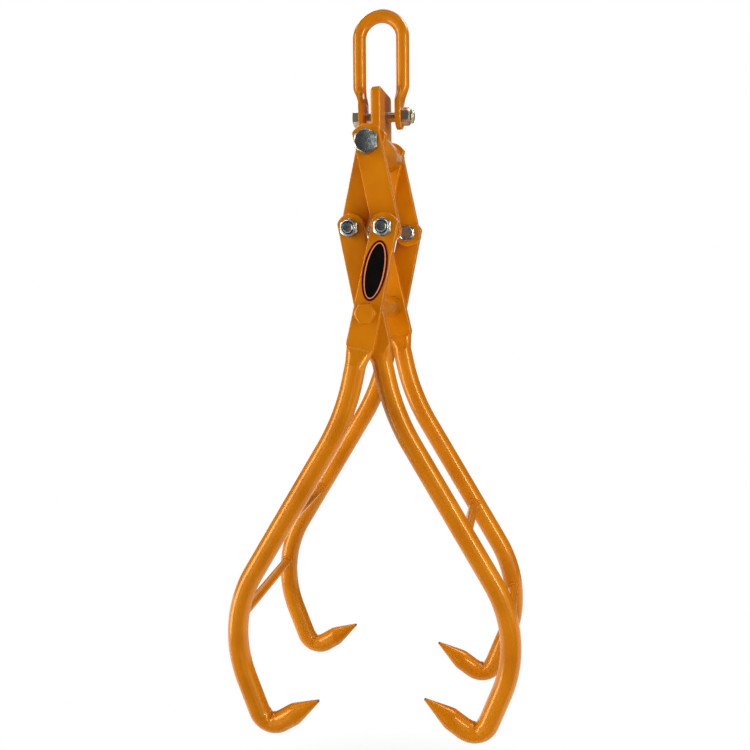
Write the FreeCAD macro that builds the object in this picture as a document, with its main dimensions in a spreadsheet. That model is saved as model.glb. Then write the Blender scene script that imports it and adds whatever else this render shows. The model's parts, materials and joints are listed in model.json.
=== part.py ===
import FreeCAD, Part
import Sketcher
import math
import os

# Four-claw lifting tongs: a shackle, a hanger, four flat links and four forged claw arms.
# Millimetres, +Z up, +X to the right claws, -Y to the front.
# The origin is the hook seat, the lowest point of the underside of the shackle's crown.

doc = FreeCAD.newDocument("lifting_tongs")
sheet = doc.addObject("Spreadsheet::Sheet", "Sizes")

SIZES = {
    # Scissor linkage: links and arms have the same hole spacing, so the scissor is a rhombus
    "pivot_spacing": 80.8,
    "rest_angle": 12.11,
    "hook_to_shackle_bolt": 93.5,
    "shackle_bolt_to_top_pivot": 35.0,
    # Flats
    "flat_thickness": 10.0,
    "link_width": 25.2,
    "arm_width": 24.0,
    "crease_width": 27.0,
    "top_end_swell": 4.8,
    "joint_end_swell": 1.7,
    "edge_bevel": 0.7,
    "layer_gap": 0.4,
    "end_gap": 0.2,
    "sleeve_length": 86.0,
    # Claw arm bar
    "rod_diameter": 20.0,
    "rod_setback": 0.8,
    "crease_distance": 32.0,
    "press_length": 17.0,
    "upper_run": 15.4,
    "upper_bend_radius": 217.0,
    "upper_bend_angle": 18.7,
    "arm_run": 149.0,
    "knee_radius": 122.0,
    "knee_angle": 52.2,
    "lower_run": 32.8,
    "claw_bend_radius": 17.2,
    "claw_bend_angle": 102.0,
    "claw_run": 13.0,
    "claw_point_length": 30.6,
    "claw_tip_radius": 1.2,
    # Crossbars
    "crossbar_diameter": 10.0,
    "upper_crossbar_run": 99.5,
    "lower_crossbar_angle": 23.6,
    # Shackle
    "bow_diameter": 13.2,
    "bow_half_width": 22.2,
    "leg_end_height": 31.0,
    "shackle_jaw": 31.6,
    "shackle_eye_thickness": 5.6,
    "shackle_eye_radius": 12.6,
    "shackle_neck_height": 12.8,
    "shackle_neck_inset": 0.6,
    # Hanger and spacer
    "tab_thickness": 10.0,
    "tab_depth": 58.0,
    "tab_above_bolt": 26.0,
    "tab_corner_radius": 7.0,
    "sleeve_diameter": 27.0,
    "spacer_diameter": 21.3,
    # Fasteners
    "pin_clearance": 0.1,
    "loop_clearance": 0.25,
    "thread_gap": 0.05,
    "bolt_end_stand": 0.6,
    "shackle_bolt_diameter": 10.0,
    "shackle_bolt_flats": 16.0,
    "shackle_bolt_head": 7.0,
    "shackle_nut_hex": 8.0,
    "shackle_nut_collar": 3.6,
    "joint_bolt_diameter": 10.0,
    "joint_bolt_flats": 16.0,
    "joint_bolt_head": 7.0,
    "joint_nut_hex": 8.0,
    "joint_nut_collar": 3.6,
    "lower_bolt_diameter": 12.0,
    "lower_bolt_flats": 18.0,
    "lower_bolt_head": 8.0,
    "lower_nut_hex": 9.5,
    "lower_nut_collar": 4.2,
    "top_bolt_diameter": 14.0,
    "top_bolt_flats": 21.0,
    "top_bolt_head": 9.0,
    "top_nut_hex": 11.0,
    "top_nut_collar": 4.8,
    "collar_wall": 1.0,
    "insert_wall": 1.2,
    # Label
    "label_length": 57.0,
    "label_width": 22.4,
    "label_drop": 0.4,
    "label_thickness": 0.4,
}

for row, (alias, number) in enumerate(SIZES.items(), start=1):
    sheet.set("A%d" % row, alias)
    sheet.set("B%d" % row, str(number))
    sheet.setAlias("B%d" % row, alias)
doc.recompute()


def value(formula):
    """The number that a formula of the sheet's sizes gives."""
    return float(sheet.evalExpression(formula))


Vector = FreeCAD.Vector
Rotation = FreeCAD.Rotation
Placement = FreeCAD.Placement
X_AXIS = Vector(1, 0, 0)
Y_AXIS = Vector(0, 1, 0)
Z_AXIS = Vector(0, 0, 1)

# Places of the axes and of the layers of flats, all from the sizes
shackle_bolt_z = -value("Sizes.hook_to_shackle_bolt")
top_z = shackle_bolt_z - value("Sizes.shackle_bolt_to_top_pivot")
rest_angle = value("Sizes.rest_angle")
joint_x = value("Sizes.pivot_spacing") * math.sin(math.radians(rest_angle))
joint_z = top_z - value("Sizes.pivot_spacing") * math.cos(math.radians(rest_angle))
lower_z = 2 * joint_z - top_z

flat = value("Sizes.flat_thickness")
gap = value("Sizes.layer_gap")
end_gap = value("Sizes.end_gap")
inner_layer_in = value("Sizes.sleeve_length") / 2 + end_gap
inner_layer_out = inner_layer_in + flat
middle_layer_in = inner_layer_out + gap
middle_layer_out = middle_layer_in + flat
outer_layer_in = middle_layer_out + gap
outer_layer_out = outer_layer_in + flat
rod_offset = value("Sizes.rod_diameter / 2 + Sizes.rod_setback")
outer_rod_y = outer_layer_in + rod_offset
inner_rod_y = middle_layer_out - rod_offset

nodes = []


def keep(thing, label, placement=None):
    """Names a finished sub-part and puts it in its place."""
    thing.Label = label
    if placement is not None:
        thing.Placement = placement
    nodes.append(thing)
    return thing


def bind(thing, **formulas):
    """Ties properties of an object to formulas of the sheet."""
    for name, formula in formulas.items():
        thing.setExpression(name, formula)
    return thing


# Sketch helpers

def add_body(name):
    return doc.addObject("PartDesign::Body", name + "_body")


def add_sketch(body, name, role, offset=None):
    """A sketch on one of the body's own origin planes."""
    sketch = body.newObject("Sketcher::SketchObject", name)
    plane = [item for item in body.Origin.OriginFeatures if item.Role == role][0]
    sketch.AttachmentSupport = [(plane, "")]
    sketch.MapMode = "FlatFace"
    if offset is not None:
        sketch.AttachmentOffset = offset
    return sketch


def line(sketch, x1, y1, x2, y2):
    return sketch.addGeometry(Part.LineSegment(Vector(x1, y1, 0), Vector(x2, y2, 0)), False)


def circle(sketch, x, y, radius):
    return sketch.addGeometry(Part.Circle(Vector(x, y, 0), Z_AXIS, radius), False)


def arc(sketch, x, y, radius, start_degrees, end_degrees):
    """An arc that runs counter-clockwise from the start to the end."""
    whole = Part.Circle(Vector(x, y, 0), Z_AXIS, radius)
    piece = Part.ArcOfCircle(whole, math.radians(start_degrees), math.radians(end_degrees))
    return sketch.addGeometry(piece, False)


def fix(sketch, kind, *places):
    return sketch.addConstraint(Sketcher.Constraint(kind, *places))


def measure(sketch, name, kind, formula, *places):
    """A named dimension of the sketch, tied to a formula of the sheet."""
    number = value(formula)
    if kind == "Angle":
        number = math.radians(number)
    index = sketch.addConstraint(Sketcher.Constraint(kind, *places, number))
    sketch.renameConstraint(index, name)
    sketch.setExpression("Constraints." + name, formula)


def join(sketch, first, first_end, second, second_end):
    fix(sketch, "Coincident", first, first_end, second, second_end)


START = 1
END = 2
CENTRE = 3
ORIGIN = -1
UPRIGHT = -2


def centred_rectangle(sketch, width, low, high):
    """A rectangle that is symmetric about the sketch's upright axis, between two heights."""
    half = value(width) / 2
    bottom = value(low)
    top = value(high)
    base = line(sketch, -half, bottom, half, bottom)
    right = line(sketch, half, bottom, half, top)
    roof = line(sketch, half, top, -half, top)
    left = line(sketch, -half, top, -half, bottom)
    join(sketch, base, END, right, START)
    join(sketch, right, END, roof, START)
    join(sketch, roof, END, left, START)
    join(sketch, left, END, base, START)
    fix(sketch, "Symmetric", base, START, base, END, UPRIGHT)
    fix(sketch, "Symmetric", roof, START, roof, END, UPRIGHT)
    measure(sketch, "width", "DistanceX", width, base, START, base, END)
    measure(sketch, "wide_top", "DistanceX", width, roof, END, roof, START)
    measure(sketch, "low", "DistanceY", low, ORIGIN, START, base, START)
    measure(sketch, "high", "DistanceY", high, ORIGIN, START, roof, START)


def round_section(sketch, diameter, height):
    """A circle on the sketch's upright axis, at a height."""
    ring = circle(sketch, 0, value(height), value(diameter) / 2)
    fix(sketch, "PointOnObject", ring, CENTRE, UPRIGHT)
    measure(sketch, "height", "DistanceY", height, ORIGIN, START, ring, CENTRE)
    measure(sketch, "diameter", "Diameter", diameter, ring)


def hole(sketch, name, diameter, of_geometry, of_point):
    """A round hole whose centre is a point of the sketch."""
    place = Vector(0, 0, 0)
    if of_geometry >= 0:
        place = sketch.getPoint(of_geometry, of_point)
    ring = circle(sketch, place.x, place.y, value(diameter) / 2)
    join(sketch, ring, CENTRE, of_geometry, of_point)
    measure(sketch, name, "Diameter", diameter, ring)


def break_edges(body, pad, label, picks):
    """Bevels the edges of a flat's outline that the test picks by their boxes; the holes stay sharp."""
    doc.recompute()
    names = []
    for number, edge in enumerate(pad.Shape.Edges, start=1):
        if not edge.isClosed() and picks(edge.BoundBox):
            names.append("Edge%d" % number)
    broken = body.newObject("PartDesign::Chamfer", label + "_broken_edges")
    broken.Base = (pad, names)
    bind(broken, Size="Sizes.edge_bevel")
    doc.recompute()


LINK_TOP_END = "Sizes.link_width / 2 + Sizes.top_end_swell"
LINK_LOW_END = "Sizes.link_width / 2 + Sizes.joint_end_swell"
ARM_END = "Sizes.arm_width / 2 + Sizes.joint_end_swell"
RUNNING_HOLE = " + 2 * Sizes.pin_clearance"
LOOP_HOLE = " + 2 * Sizes.loop_clearance"


# Links: flat bars whose ends are curved about their holes, drawn hanging from the top pivot

def end_corner(radius, half):
    """How far past the hole a flat's end arc meets its side, and the angle there."""
    rise = math.sqrt(radius ** 2 - half ** 2)
    return rise, math.degrees(math.atan2(rise, half))


def make_link(label, side, face_y, towards):
    body = add_body(label)
    sketch = add_sketch(body, label + "_outline", "XZ_Plane")
    half = value("Sizes.link_width") / 2
    length = value("Sizes.pivot_spacing")
    top_radius = value(LINK_TOP_END)
    top_rise, top_turn = end_corner(top_radius, half)
    low_radius = value(LINK_LOW_END)
    low_rise, low_turn = end_corner(low_radius, half)
    top = arc(sketch, 0, 0, top_radius, top_turn, 180 - top_turn)
    left = line(sketch, -half, top_rise, -half, -length - low_rise)
    low = arc(sketch, 0, -length, low_radius, 180 + low_turn, 360 - low_turn)
    right = line(sketch, half, -length - low_rise, half, top_rise)
    join(sketch, top, END, left, START)
    join(sketch, left, END, low, START)
    join(sketch, low, END, right, START)
    join(sketch, right, END, top, START)
    join(sketch, top, CENTRE, ORIGIN, START)
    fix(sketch, "PointOnObject", low, CENTRE, UPRIGHT)
    fix(sketch, "Symmetric", top, START, top, END, UPRIGHT)
    fix(sketch, "Vertical", left)
    fix(sketch, "Vertical", right)
    measure(sketch, "spacing", "DistanceY", "Sizes.pivot_spacing", low, CENTRE, ORIGIN, START)
    measure(sketch, "width", "DistanceX", "Sizes.link_width", top, END, top, START)
    measure(sketch, "end_top", "Radius", LINK_TOP_END, top)
    measure(sketch, "end_low", "Radius", LINK_LOW_END, low)
    hole(sketch, "top_hole", "Sizes.top_bolt_diameter" + RUNNING_HOLE, ORIGIN, START)
    hole(sketch, "joint_hole", "Sizes.joint_bolt_diameter" + RUNNING_HOLE, low, CENTRE)
    pad = body.newObject("PartDesign::Pad", label + "_flat")
    pad.Profile = sketch
    bind(pad, Length="Sizes.flat_thickness")
    pad.Reversed = towards > 0
    sketch.Visibility = False
    break_edges(body, pad, label, lambda box: box.YLength < 1e-6)
    keep(body, label, Placement(Vector(0, face_y, top_z), Rotation(Y_AXIS, -side * rest_angle)))


make_link("link_front_right", 1, -middle_layer_out, 1)
make_link("link_rear_right", 1, middle_layer_out, -1)
make_link("link_front_left", -1, -inner_layer_out, 1)
make_link("link_rear_left", -1, inner_layer_out, -1)


# Claw arms: one round bar, pressed flat above, bent out, back in at the knee, and round to the claw's point

ROD_START = "Sizes.crease_distance + Sizes.press_length"
KNEE_HEADING = "Sizes.upper_bend_angle - Sizes.knee_angle"
CLAW_HEADING = KNEE_HEADING + " - Sizes.claw_bend_angle"


def step(place, heading, length):
    """A point further along a straight run; the heading is measured from straight down, outwards."""
    angle = math.radians(heading)
    return (place[0] + length * math.sin(angle), place[1] - length * math.cos(angle))


def swing(place, heading, radius, turn):
    """The centre and the end of a bend; a positive turn bends outwards."""
    side = 1 if turn > 0 else -1
    angle = math.radians(heading)
    centre = (place[0] + side * radius * math.cos(angle), place[1] + side * radius * math.sin(angle))
    last = math.radians(heading + turn)
    end = (centre[0] - side * radius * math.cos(last), centre[1] - side * radius * math.sin(last))
    return centre, end


def bar_points():
    """The corners of the bar's centreline and the centres of its bends, seen from the lower pivot."""
    points = {}
    out = value("Sizes.upper_bend_angle")
    back = value(KNEE_HEADING)
    start = (0.0, -value(ROD_START))
    points["start"] = start
    points["bend_from"] = step(start, 0, value("Sizes.upper_run"))
    points["bend_centre"], points["bend_to"] = swing(
        points["bend_from"], 0, value("Sizes.upper_bend_radius"), out)
    points["knee_from"] = step(points["bend_to"], out, value("Sizes.arm_run"))
    points["knee_centre"], points["knee_to"] = swing(
        points["knee_from"], out, value("Sizes.knee_radius"), -value("Sizes.knee_angle"))
    points["claw_from"] = step(points["knee_to"], back, value("Sizes.lower_run"))
    points["claw_centre"], points["claw_to"] = swing(
        points["claw_from"], back, value("Sizes.claw_bend_radius"), -value("Sizes.claw_bend_angle"))
    points["point_from"] = step(points["claw_to"], value(CLAW_HEADING), value("Sizes.claw_run"))
    points["upper_crossbar"] = step(points["bend_to"], out, value("Sizes.upper_crossbar_run"))
    points["lower_crossbar"] = swing(
        points["knee_from"], out, value("Sizes.knee_radius"), -value("Sizes.lower_crossbar_angle"))[1]
    return points


bar = bar_points()


def draw_bar_path(sketch):
    """Straight runs and tangent bends, all held by lengths, radii and angles."""
    out = value("Sizes.upper_bend_angle")
    back = value(KNEE_HEADING)
    claw = value(CLAW_HEADING)
    upper = line(sketch, *bar["start"], *bar["bend_from"])
    bend = arc(sketch, *bar["bend_centre"], value("Sizes.upper_bend_radius"), 180, 180 + out)
    run = line(sketch, *bar["bend_to"], *bar["knee_from"])
    knee = arc(sketch, *bar["knee_centre"], value("Sizes.knee_radius"), back, out)
    lower = line(sketch, *bar["knee_to"], *bar["claw_from"])
    hook = arc(sketch, *bar["claw_centre"], value("Sizes.claw_bend_radius"), claw, back)
    point = line(sketch, *bar["claw_to"], *bar["point_from"])
    fix(sketch, "PointOnObject", upper, START, UPRIGHT)
    fix(sketch, "Vertical", upper)
    fix(sketch, "Tangent", upper, END, bend, START)
    fix(sketch, "Tangent", bend, END, run, START)
    fix(sketch, "Tangent", run, END, knee, END)
    fix(sketch, "Tangent", knee, START, lower, START)
    fix(sketch, "Tangent", lower, END, hook, END)
    fix(sketch, "Tangent", hook, START, point, START)
    measure(sketch, "rod_start", "DistanceY", ROD_START, upper, START, ORIGIN, START)
    measure(sketch, "upper_run", "Distance", "Sizes.upper_run", upper)
    measure(sketch, "bend_radius", "Radius", "Sizes.upper_bend_radius", bend)
    measure(sketch, "run_heading", "Angle", "Sizes.upper_bend_angle - 90", run)
    measure(sketch, "arm_run", "Distance", "Sizes.arm_run", run)
    measure(sketch, "knee_radius", "Radius", "Sizes.knee_radius", knee)
    measure(sketch, "lower_heading", "Angle", KNEE_HEADING + " - 90", lower)
    measure(sketch, "lower_run", "Distance", "Sizes.lower_run", lower)
    measure(sketch, "hook_radius", "Radius", "Sizes.claw_bend_radius", hook)
    measure(sketch, "point_heading", "Angle", CLAW_HEADING + " - 90", point)
    measure(sketch, "point_run", "Distance", "Sizes.claw_run", point)


def make_claw_arm(label, side, hand, face_y, lower_hole):
    """The right arm is drawn upright with its claw to +X; the left one is the same, turned half round."""
    body = add_body(label)
    half = value("Sizes.arm_width") / 2
    wide = value("Sizes.crease_width") / 2
    radius = value(ARM_END)
    length = value("Sizes.pivot_spacing")
    crease = value("Sizes.crease_distance")
    rise, turn = end_corner(radius, half)

    # The pressed flat with its two holes
    outline = add_sketch(body, label + "_outline", "XZ_Plane")
    eye = arc(outline, 0, length, radius, turn, 180 - turn)
    left = line(outline, -half, length + rise, -wide, -crease)
    base = line(outline, -wide, -crease, wide, -crease)
    right = line(outline, wide, -crease, half, length + rise)
    join(outline, eye, END, left, START)
    join(outline, left, END, base, START)
    join(outline, base, END, right, START)
    join(outline, right, END, eye, START)
    fix(outline, "PointOnObject", eye, CENTRE, UPRIGHT)
    fix(outline, "Symmetric", eye, START, eye, END, UPRIGHT)
    fix(outline, "Symmetric", base, START, base, END, UPRIGHT)
    measure(outline, "spacing", "DistanceY", "Sizes.pivot_spacing", ORIGIN, START, eye, CENTRE)
    measure(outline, "end_radius", "Radius", ARM_END, eye)
    measure(outline, "width", "DistanceX", "Sizes.arm_width", eye, END, eye, START)
    measure(outline, "crease_width", "DistanceX", "Sizes.crease_width", base, START, base, END)
    measure(outline, "crease", "DistanceY", "Sizes.crease_distance", base, START, ORIGIN, START)
    hole(outline, "lower_hole", lower_hole, ORIGIN, START)
    hole(outline, "joint_hole", "Sizes.joint_bolt_diameter" + RUNNING_HOLE, eye, CENTRE)
    pad = body.newObject("PartDesign::Pad", label + "_flat")
    pad.Profile = outline
    bind(pad, Length="Sizes.flat_thickness")
    pad.Reversed = hand > 0
    break_edges(body, pad, label, lambda box: box.YLength < 1e-6 and box.ZLength > 1e-6)

    # The taper from the flat to the round bar
    oblong = add_sketch(body, label + "_crease", "XY_Plane")
    bind(oblong, **{"AttachmentOffset.Base.z": "-Sizes.crease_distance"})
    if hand > 0:
        centred_rectangle(oblong, "Sizes.crease_width", "0", "Sizes.flat_thickness")
    else:
        centred_rectangle(oblong, "Sizes.crease_width", "-Sizes.flat_thickness", "0")
    section = add_sketch(body, label + "_section", "XY_Plane")
    bind(section, **{"AttachmentOffset.Base.z": "-(" + ROD_START + ")"})
    offset = "%d * (Sizes.rod_diameter / 2 + Sizes.rod_setback)" % hand
    round_section(section, "Sizes.rod_diameter", offset)
    doc.recompute()
    taper = body.newObject("PartDesign::AdditiveLoft", label + "_taper")
    taper.Profile = oblong
    taper.Sections = [section]
    taper.Ruled = True

    # The round bar
    depth = -hand * rod_offset
    path = add_sketch(body, label + "_path", "XZ_Plane", Placement(Vector(0, 0, depth), Rotation()))
    bind(path, **{"AttachmentOffset.Base.z": "-(" + offset + ")"})
    draw_bar_path(path)
    doc.recompute()
    rod = body.newObject("PartDesign::AdditivePipe", label + "_rod")
    rod.Profile = section
    rod.Spine = (path, ["Edge%d" % number for number in range(1, 8)])

    # The claw's point
    heading = value(CLAW_HEADING)
    root = Vector(bar["point_from"][0], bar["point_from"][1], depth)
    seat = Placement(root, Rotation(Z_AXIS, 180 + heading))
    profile = add_sketch(body, label + "_cone", "XZ_Plane", seat)
    rod_radius = value("Sizes.rod_diameter") / 2
    tip_radius = value("Sizes.claw_tip_radius")
    reach = value("Sizes.claw_point_length")
    foot = line(profile, 0, 0, rod_radius, 0)
    slope = line(profile, rod_radius, 0, tip_radius, reach)
    tip = line(profile, tip_radius, reach, 0, reach)
    axis = line(profile, 0, reach, 0, 0)
    join(profile, foot, END, slope, START)
    join(profile, slope, END, tip, START)
    join(profile, tip, END, axis, START)
    join(profile, axis, END, foot, START)
    join(profile, foot, START, ORIGIN, START)
    fix(profile, "Horizontal", foot)
    fix(profile, "Horizontal", tip)
    fix(profile, "Vertical", axis)
    measure(profile, "rod_radius", "DistanceX", "Sizes.rod_diameter / 2", foot, START, foot, END)
    measure(profile, "tip_radius", "DistanceX", "Sizes.claw_tip_radius", tip, END, tip, START)
    measure(profile, "reach", "DistanceY", "Sizes.claw_point_length", axis, END, axis, START)
    doc.recompute()
    claw = body.newObject("PartDesign::Revolution", label + "_point")
    claw.Profile = profile
    claw.ReferenceAxis = (profile, ["V_Axis"])
    claw.Angle = 360
    for sketch in (outline, oblong, section, path, profile):
        sketch.Visibility = False
    turned = Rotation(Y_AXIS, -side * rest_angle)
    if side < 0:
        turned = turned.multiply(Rotation(Z_AXIS, 180))
    return keep(body, label, Placement(Vector(0, face_y, lower_z), turned))


OUTER_HOLE = "Sizes.lower_bolt_diameter" + RUNNING_HOLE
INNER_HOLE = "Sizes.lower_bolt_diameter" + LOOP_HOLE
arm_front_left = make_claw_arm("claw_arm_front_left", -1, 1, -outer_layer_in, OUTER_HOLE)
arm_rear_left = make_claw_arm("claw_arm_rear_left", -1, -1, outer_layer_in, OUTER_HOLE)
arm_front_right = make_claw_arm("claw_arm_front_right", 1, 1, -middle_layer_out, INNER_HOLE)
arm_rear_right = make_claw_arm("claw_arm_rear_right", 1, -1, middle_layer_out, INNER_HOLE)
doc.recompute()


# Crossbars: round bars coped to the two arm bars that they are welded between

def turned_point(place, side):
    """A point of the upright right arm's drawing, in the part's frame."""
    angle = math.radians(rest_angle)
    across = place[0] * math.cos(angle) - place[1] * math.sin(angle)
    upward = place[0] * math.sin(angle) + place[1] * math.cos(angle)
    return side * across, lower_z + upward


def make_crossbar(label, side, place, reach, front, rear):
    across, upward = turned_point(place, side)
    plain = doc.addObject("Part::Cylinder", label + "_bar")
    bind(plain, Radius="Sizes.crossbar_diameter / 2")
    plain.Height = 2 * reach
    plain.Placement = Placement(Vector(across, reach, upward), Rotation(X_AXIS, 90))
    coped = plain
    for name, arm in (("front", front), ("rear", rear)):
        cut = doc.addObject("Part::Cut", label + "_coped_" + name)
        cut.Base = coped
        cut.Tool = arm
        coped = cut
    keep(coped, label)


for height in ("upper", "lower"):
    spot = bar[height + "_crossbar"]
    make_crossbar("crossbar_left_" + height, -1, spot, outer_rod_y, arm_front_left, arm_rear_left)
    make_crossbar("crossbar_right_" + height, 1, spot, inner_rod_y, arm_front_right, arm_rear_right)


# Shackle: a bow of round bar whose two ends are pressed flat and bored for the bolt

PLATE_TOP = "Sizes.shackle_neck_height + Sizes.shackle_neck_inset"


def draw_eye_plate(sketch):
    """A pressed end of the shackle's bar: round about the bolt hole, straight up to the neck."""
    radius = value("Sizes.shackle_eye_radius")
    top = value(PLATE_TOP)
    low = arc(sketch, 0, 0, radius, 180, 360)
    right = line(sketch, radius, 0, radius, top)
    roof = line(sketch, radius, top, -radius, top)
    left = line(sketch, -radius, top, -radius, 0)
    fix(sketch, "Tangent", low, END, right, START)
    join(sketch, right, END, roof, START)
    join(sketch, roof, END, left, START)
    fix(sketch, "Tangent", left, END, low, START)
    join(sketch, low, CENTRE, ORIGIN, START)
    fix(sketch, "Horizontal", roof)
    fix(sketch, "Vertical", left)
    measure(sketch, "eye_radius", "Radius", "Sizes.shackle_eye_radius", low)
    measure(sketch, "plate_top", "DistanceY", PLATE_TOP, ORIGIN, START, roof, START)


def make_shackle():
    body = add_body("lifting_shackle")
    lift = value("Sizes.hook_to_shackle_bolt + Sizes.bow_diameter / 2")
    half = value("Sizes.bow_half_width")
    low = value("Sizes.leg_end_height")
    path = add_sketch(body, "bow_path", "XZ_Plane")
    left = line(path, -half, low, -half, lift - half)
    crown = arc(path, 0, lift - half, half, 0, 180)
    right = line(path, half, lift - half, half, low)
    fix(path, "Tangent", left, END, crown, END)
    fix(path, "Tangent", crown, START, right, START)
    fix(path, "Vertical", left)
    fix(path, "PointOnObject", crown, CENTRE, UPRIGHT)
    fix(path, "Symmetric", left, START, right, END, UPRIGHT)
    measure(path, "half_width", "Radius", "Sizes.bow_half_width", crown)
    measure(path, "leg_end", "DistanceY", "Sizes.leg_end_height", ORIGIN, START, left, START)
    measure(path, "crown", "DistanceY",
            "Sizes.hook_to_shackle_bolt + Sizes.bow_diameter / 2 - Sizes.bow_half_width",
            ORIGIN, START, crown, CENTRE)
    sections = {}
    for name, side in (("left", -1), ("right", 1)):
        leg = add_sketch(body, name + "_leg", "XY_Plane")
        bind(leg, **{"AttachmentOffset.Base.z": "Sizes.leg_end_height"})
        bind(leg, **{"AttachmentOffset.Base.x": "%d * Sizes.bow_half_width" % side})
        round_section(leg, "Sizes.bow_diameter", "0")
        across = Placement(Vector(), Rotation(Z_AXIS, -90 * side))
        neck = add_sketch(body, name + "_neck", "XY_Plane", across)
        bind(neck, **{"AttachmentOffset.Base.z": "Sizes.shackle_neck_height"})
        bind(neck, **{"AttachmentOffset.Base.x": "%d * Sizes.shackle_jaw / 2" % side})
        centred_rectangle(neck, "2 * (Sizes.shackle_eye_radius - Sizes.shackle_neck_inset)",
                          "Sizes.shackle_neck_inset",
                          "Sizes.shackle_eye_thickness - Sizes.shackle_neck_inset")
        sections[name] = (leg, neck)
    doc.recompute()
    bow = body.newObject("PartDesign::AdditivePipe", "bow")
    bow.Profile = sections["left"][0]
    bow.Spine = (path, ["Edge1", "Edge2", "Edge3"])
    doc.recompute()
    for name, side in (("left", -1), ("right", 1)):
        leg, neck = sections[name]
        taper = body.newObject("PartDesign::AdditiveLoft", name + "_taper")
        taper.Profile = leg
        taper.Sections = [neck]
        taper.Ruled = True
        doc.recompute()
        eye = add_sketch(body, name + "_eye", "YZ_Plane")
        bind(eye, **{"AttachmentOffset.Base.z": "%d * Sizes.shackle_jaw / 2" % side})
        draw_eye_plate(eye)
        plate = body.newObject("PartDesign::Pad", name + "_eye_plate")
        plate.Profile = eye
        bind(plate, Length="Sizes.shackle_eye_thickness")
        plate.Reversed = side < 0
        doc.recompute()
    before = body.Shape.Volume
    bore = add_sketch(body, "bolt_hole", "YZ_Plane")
    hole(bore, "bolt_hole", "Sizes.shackle_bolt_diameter" + RUNNING_HOLE, ORIGIN, START)
    drilled = body.newObject("PartDesign::Pocket", "bolt_bore")
    drilled.Profile = bore
    drilled.SideType = "Symmetric"
    bind(drilled, Length="4 * (Sizes.bow_half_width + Sizes.bow_diameter)")
    doc.recompute()
    if body.Shape.Volume >= before:
        raise RuntimeError("the shackle's bolt hole cut nothing")
    for thing in body.Group:
        if thing.isDerivedFrom("Sketcher::SketchObject"):
            thing.Visibility = False
    keep(body, "lifting_shackle", Placement(Vector(0, 0, shackle_bolt_z), Rotation()))


make_shackle()


# Hanger: an upright tab, coped on to the sleeve that turns on the top pivot bolt

def make_hanger():
    body = add_body("hanger_plate")
    outline = add_sketch(body, "tab_outline", "YZ_Plane")
    half = value("Sizes.tab_depth") / 2
    foot = -value("Sizes.shackle_bolt_to_top_pivot")
    top = value("Sizes.tab_above_bolt")
    radius = value("Sizes.tab_corner_radius")
    roof = line(outline, half - radius, top, radius - half, top)
    near = arc(outline, radius - half, top - radius, radius, 90, 180)
    left = line(outline, -half, top - radius, -half, foot)
    base = line(outline, -half, foot, half, foot)
    right = line(outline, half, foot, half, top - radius)
    far = arc(outline, half - radius, top - radius, radius, 0, 90)
    fix(outline, "Tangent", roof, END, near, START)
    fix(outline, "Tangent", near, END, left, START)
    join(outline, left, END, base, START)
    join(outline, base, END, right, START)
    fix(outline, "Tangent", right, END, far, START)
    fix(outline, "Tangent", far, END, roof, START)
    fix(outline, "Symmetric", base, START, base, END, UPRIGHT)
    fix(outline, "Equal", near, far)
    fix(outline, "Vertical", left)
    fix(outline, "Vertical", right)
    measure(outline, "depth", "DistanceX", "Sizes.tab_depth", base, START, base, END)
    measure(outline, "corner", "Radius", "Sizes.tab_corner_radius", near)
    measure(outline, "top", "DistanceY", "Sizes.tab_above_bolt", ORIGIN, START, roof, START)
    measure(outline, "foot", "DistanceY", "Sizes.shackle_bolt_to_top_pivot", base, START, ORIGIN, START)
    hole(outline, "bolt_hole", "Sizes.shackle_bolt_diameter" + RUNNING_HOLE, ORIGIN, START)
    plate = body.newObject("PartDesign::Pad", "tab_plate")
    plate.Profile = outline
    plate.SideType = "Symmetric"
    bind(plate, Length="Sizes.tab_thickness")
    outline.Visibility = False
    break_edges(body, plate, "tab", lambda box: box.XLength < 1e-6)
    body.Placement = Placement(Vector(0, 0, shackle_bolt_z), Rotation())
    sleeve_length = value("Sizes.sleeve_length")
    along = Placement(Vector(0, sleeve_length / 2, top_z), Rotation(X_AXIS, 90))
    solid = doc.addObject("Part::Cylinder", "sleeve_solid")
    bind(solid, Radius="Sizes.sleeve_diameter / 2", Height="Sizes.sleeve_length")
    solid.Placement = along
    bore = doc.addObject("Part::Cylinder", "sleeve_bore")
    bind(bore, Radius="Sizes.top_bolt_diameter / 2 + Sizes.pin_clearance", Height="Sizes.sleeve_length")
    bore.Placement = along
    tab = doc.addObject("Part::Cut", "tab_coped")
    tab.Base = body
    tab.Tool = solid
    keep(tab, "hanger_tab")
    sleeve = doc.addObject("Part::Cut", "sleeve_bored")
    sleeve.Base = solid
    sleeve.Tool = bore
    keep(sleeve, "hanger_sleeve")


def make_spacer():
    reach = middle_layer_in - end_gap
    along = Placement(Vector(0, reach, lower_z), Rotation(X_AXIS, 90))
    solid = doc.addObject("Part::Cylinder", "spacer_solid")
    bind(solid, Radius="Sizes.spacer_diameter / 2")
    bore = doc.addObject("Part::Cylinder", "spacer_bore")
    bind(bore, Radius="Sizes.lower_bolt_diameter / 2 + Sizes.pin_clearance")
    for thing in (solid, bore):
        thing.Height = 2 * reach
        thing.Placement = along
    spacer = doc.addObject("Part::Cut", "spacer_bored")
    spacer.Base = solid
    spacer.Tool = bore
    keep(spacer, "lower_pivot_spacer")


make_hanger()
make_spacer()


# Fasteners, each drawn along +Z from the face that it bears on

def cylinder(name, radius, height, base_z):
    thing = doc.addObject("Part::Cylinder", name)
    bind(thing, Radius=radius, Height=height)
    bind(thing, **{"Placement.Base.z": base_z})
    return thing


def cone(name, low_radius, high_radius, height, base_z):
    thing = doc.addObject("Part::Cone", name)
    bind(thing, Radius1=low_radius, Radius2=high_radius, Height=height)
    bind(thing, **{"Placement.Base.z": base_z})
    return thing


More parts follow.
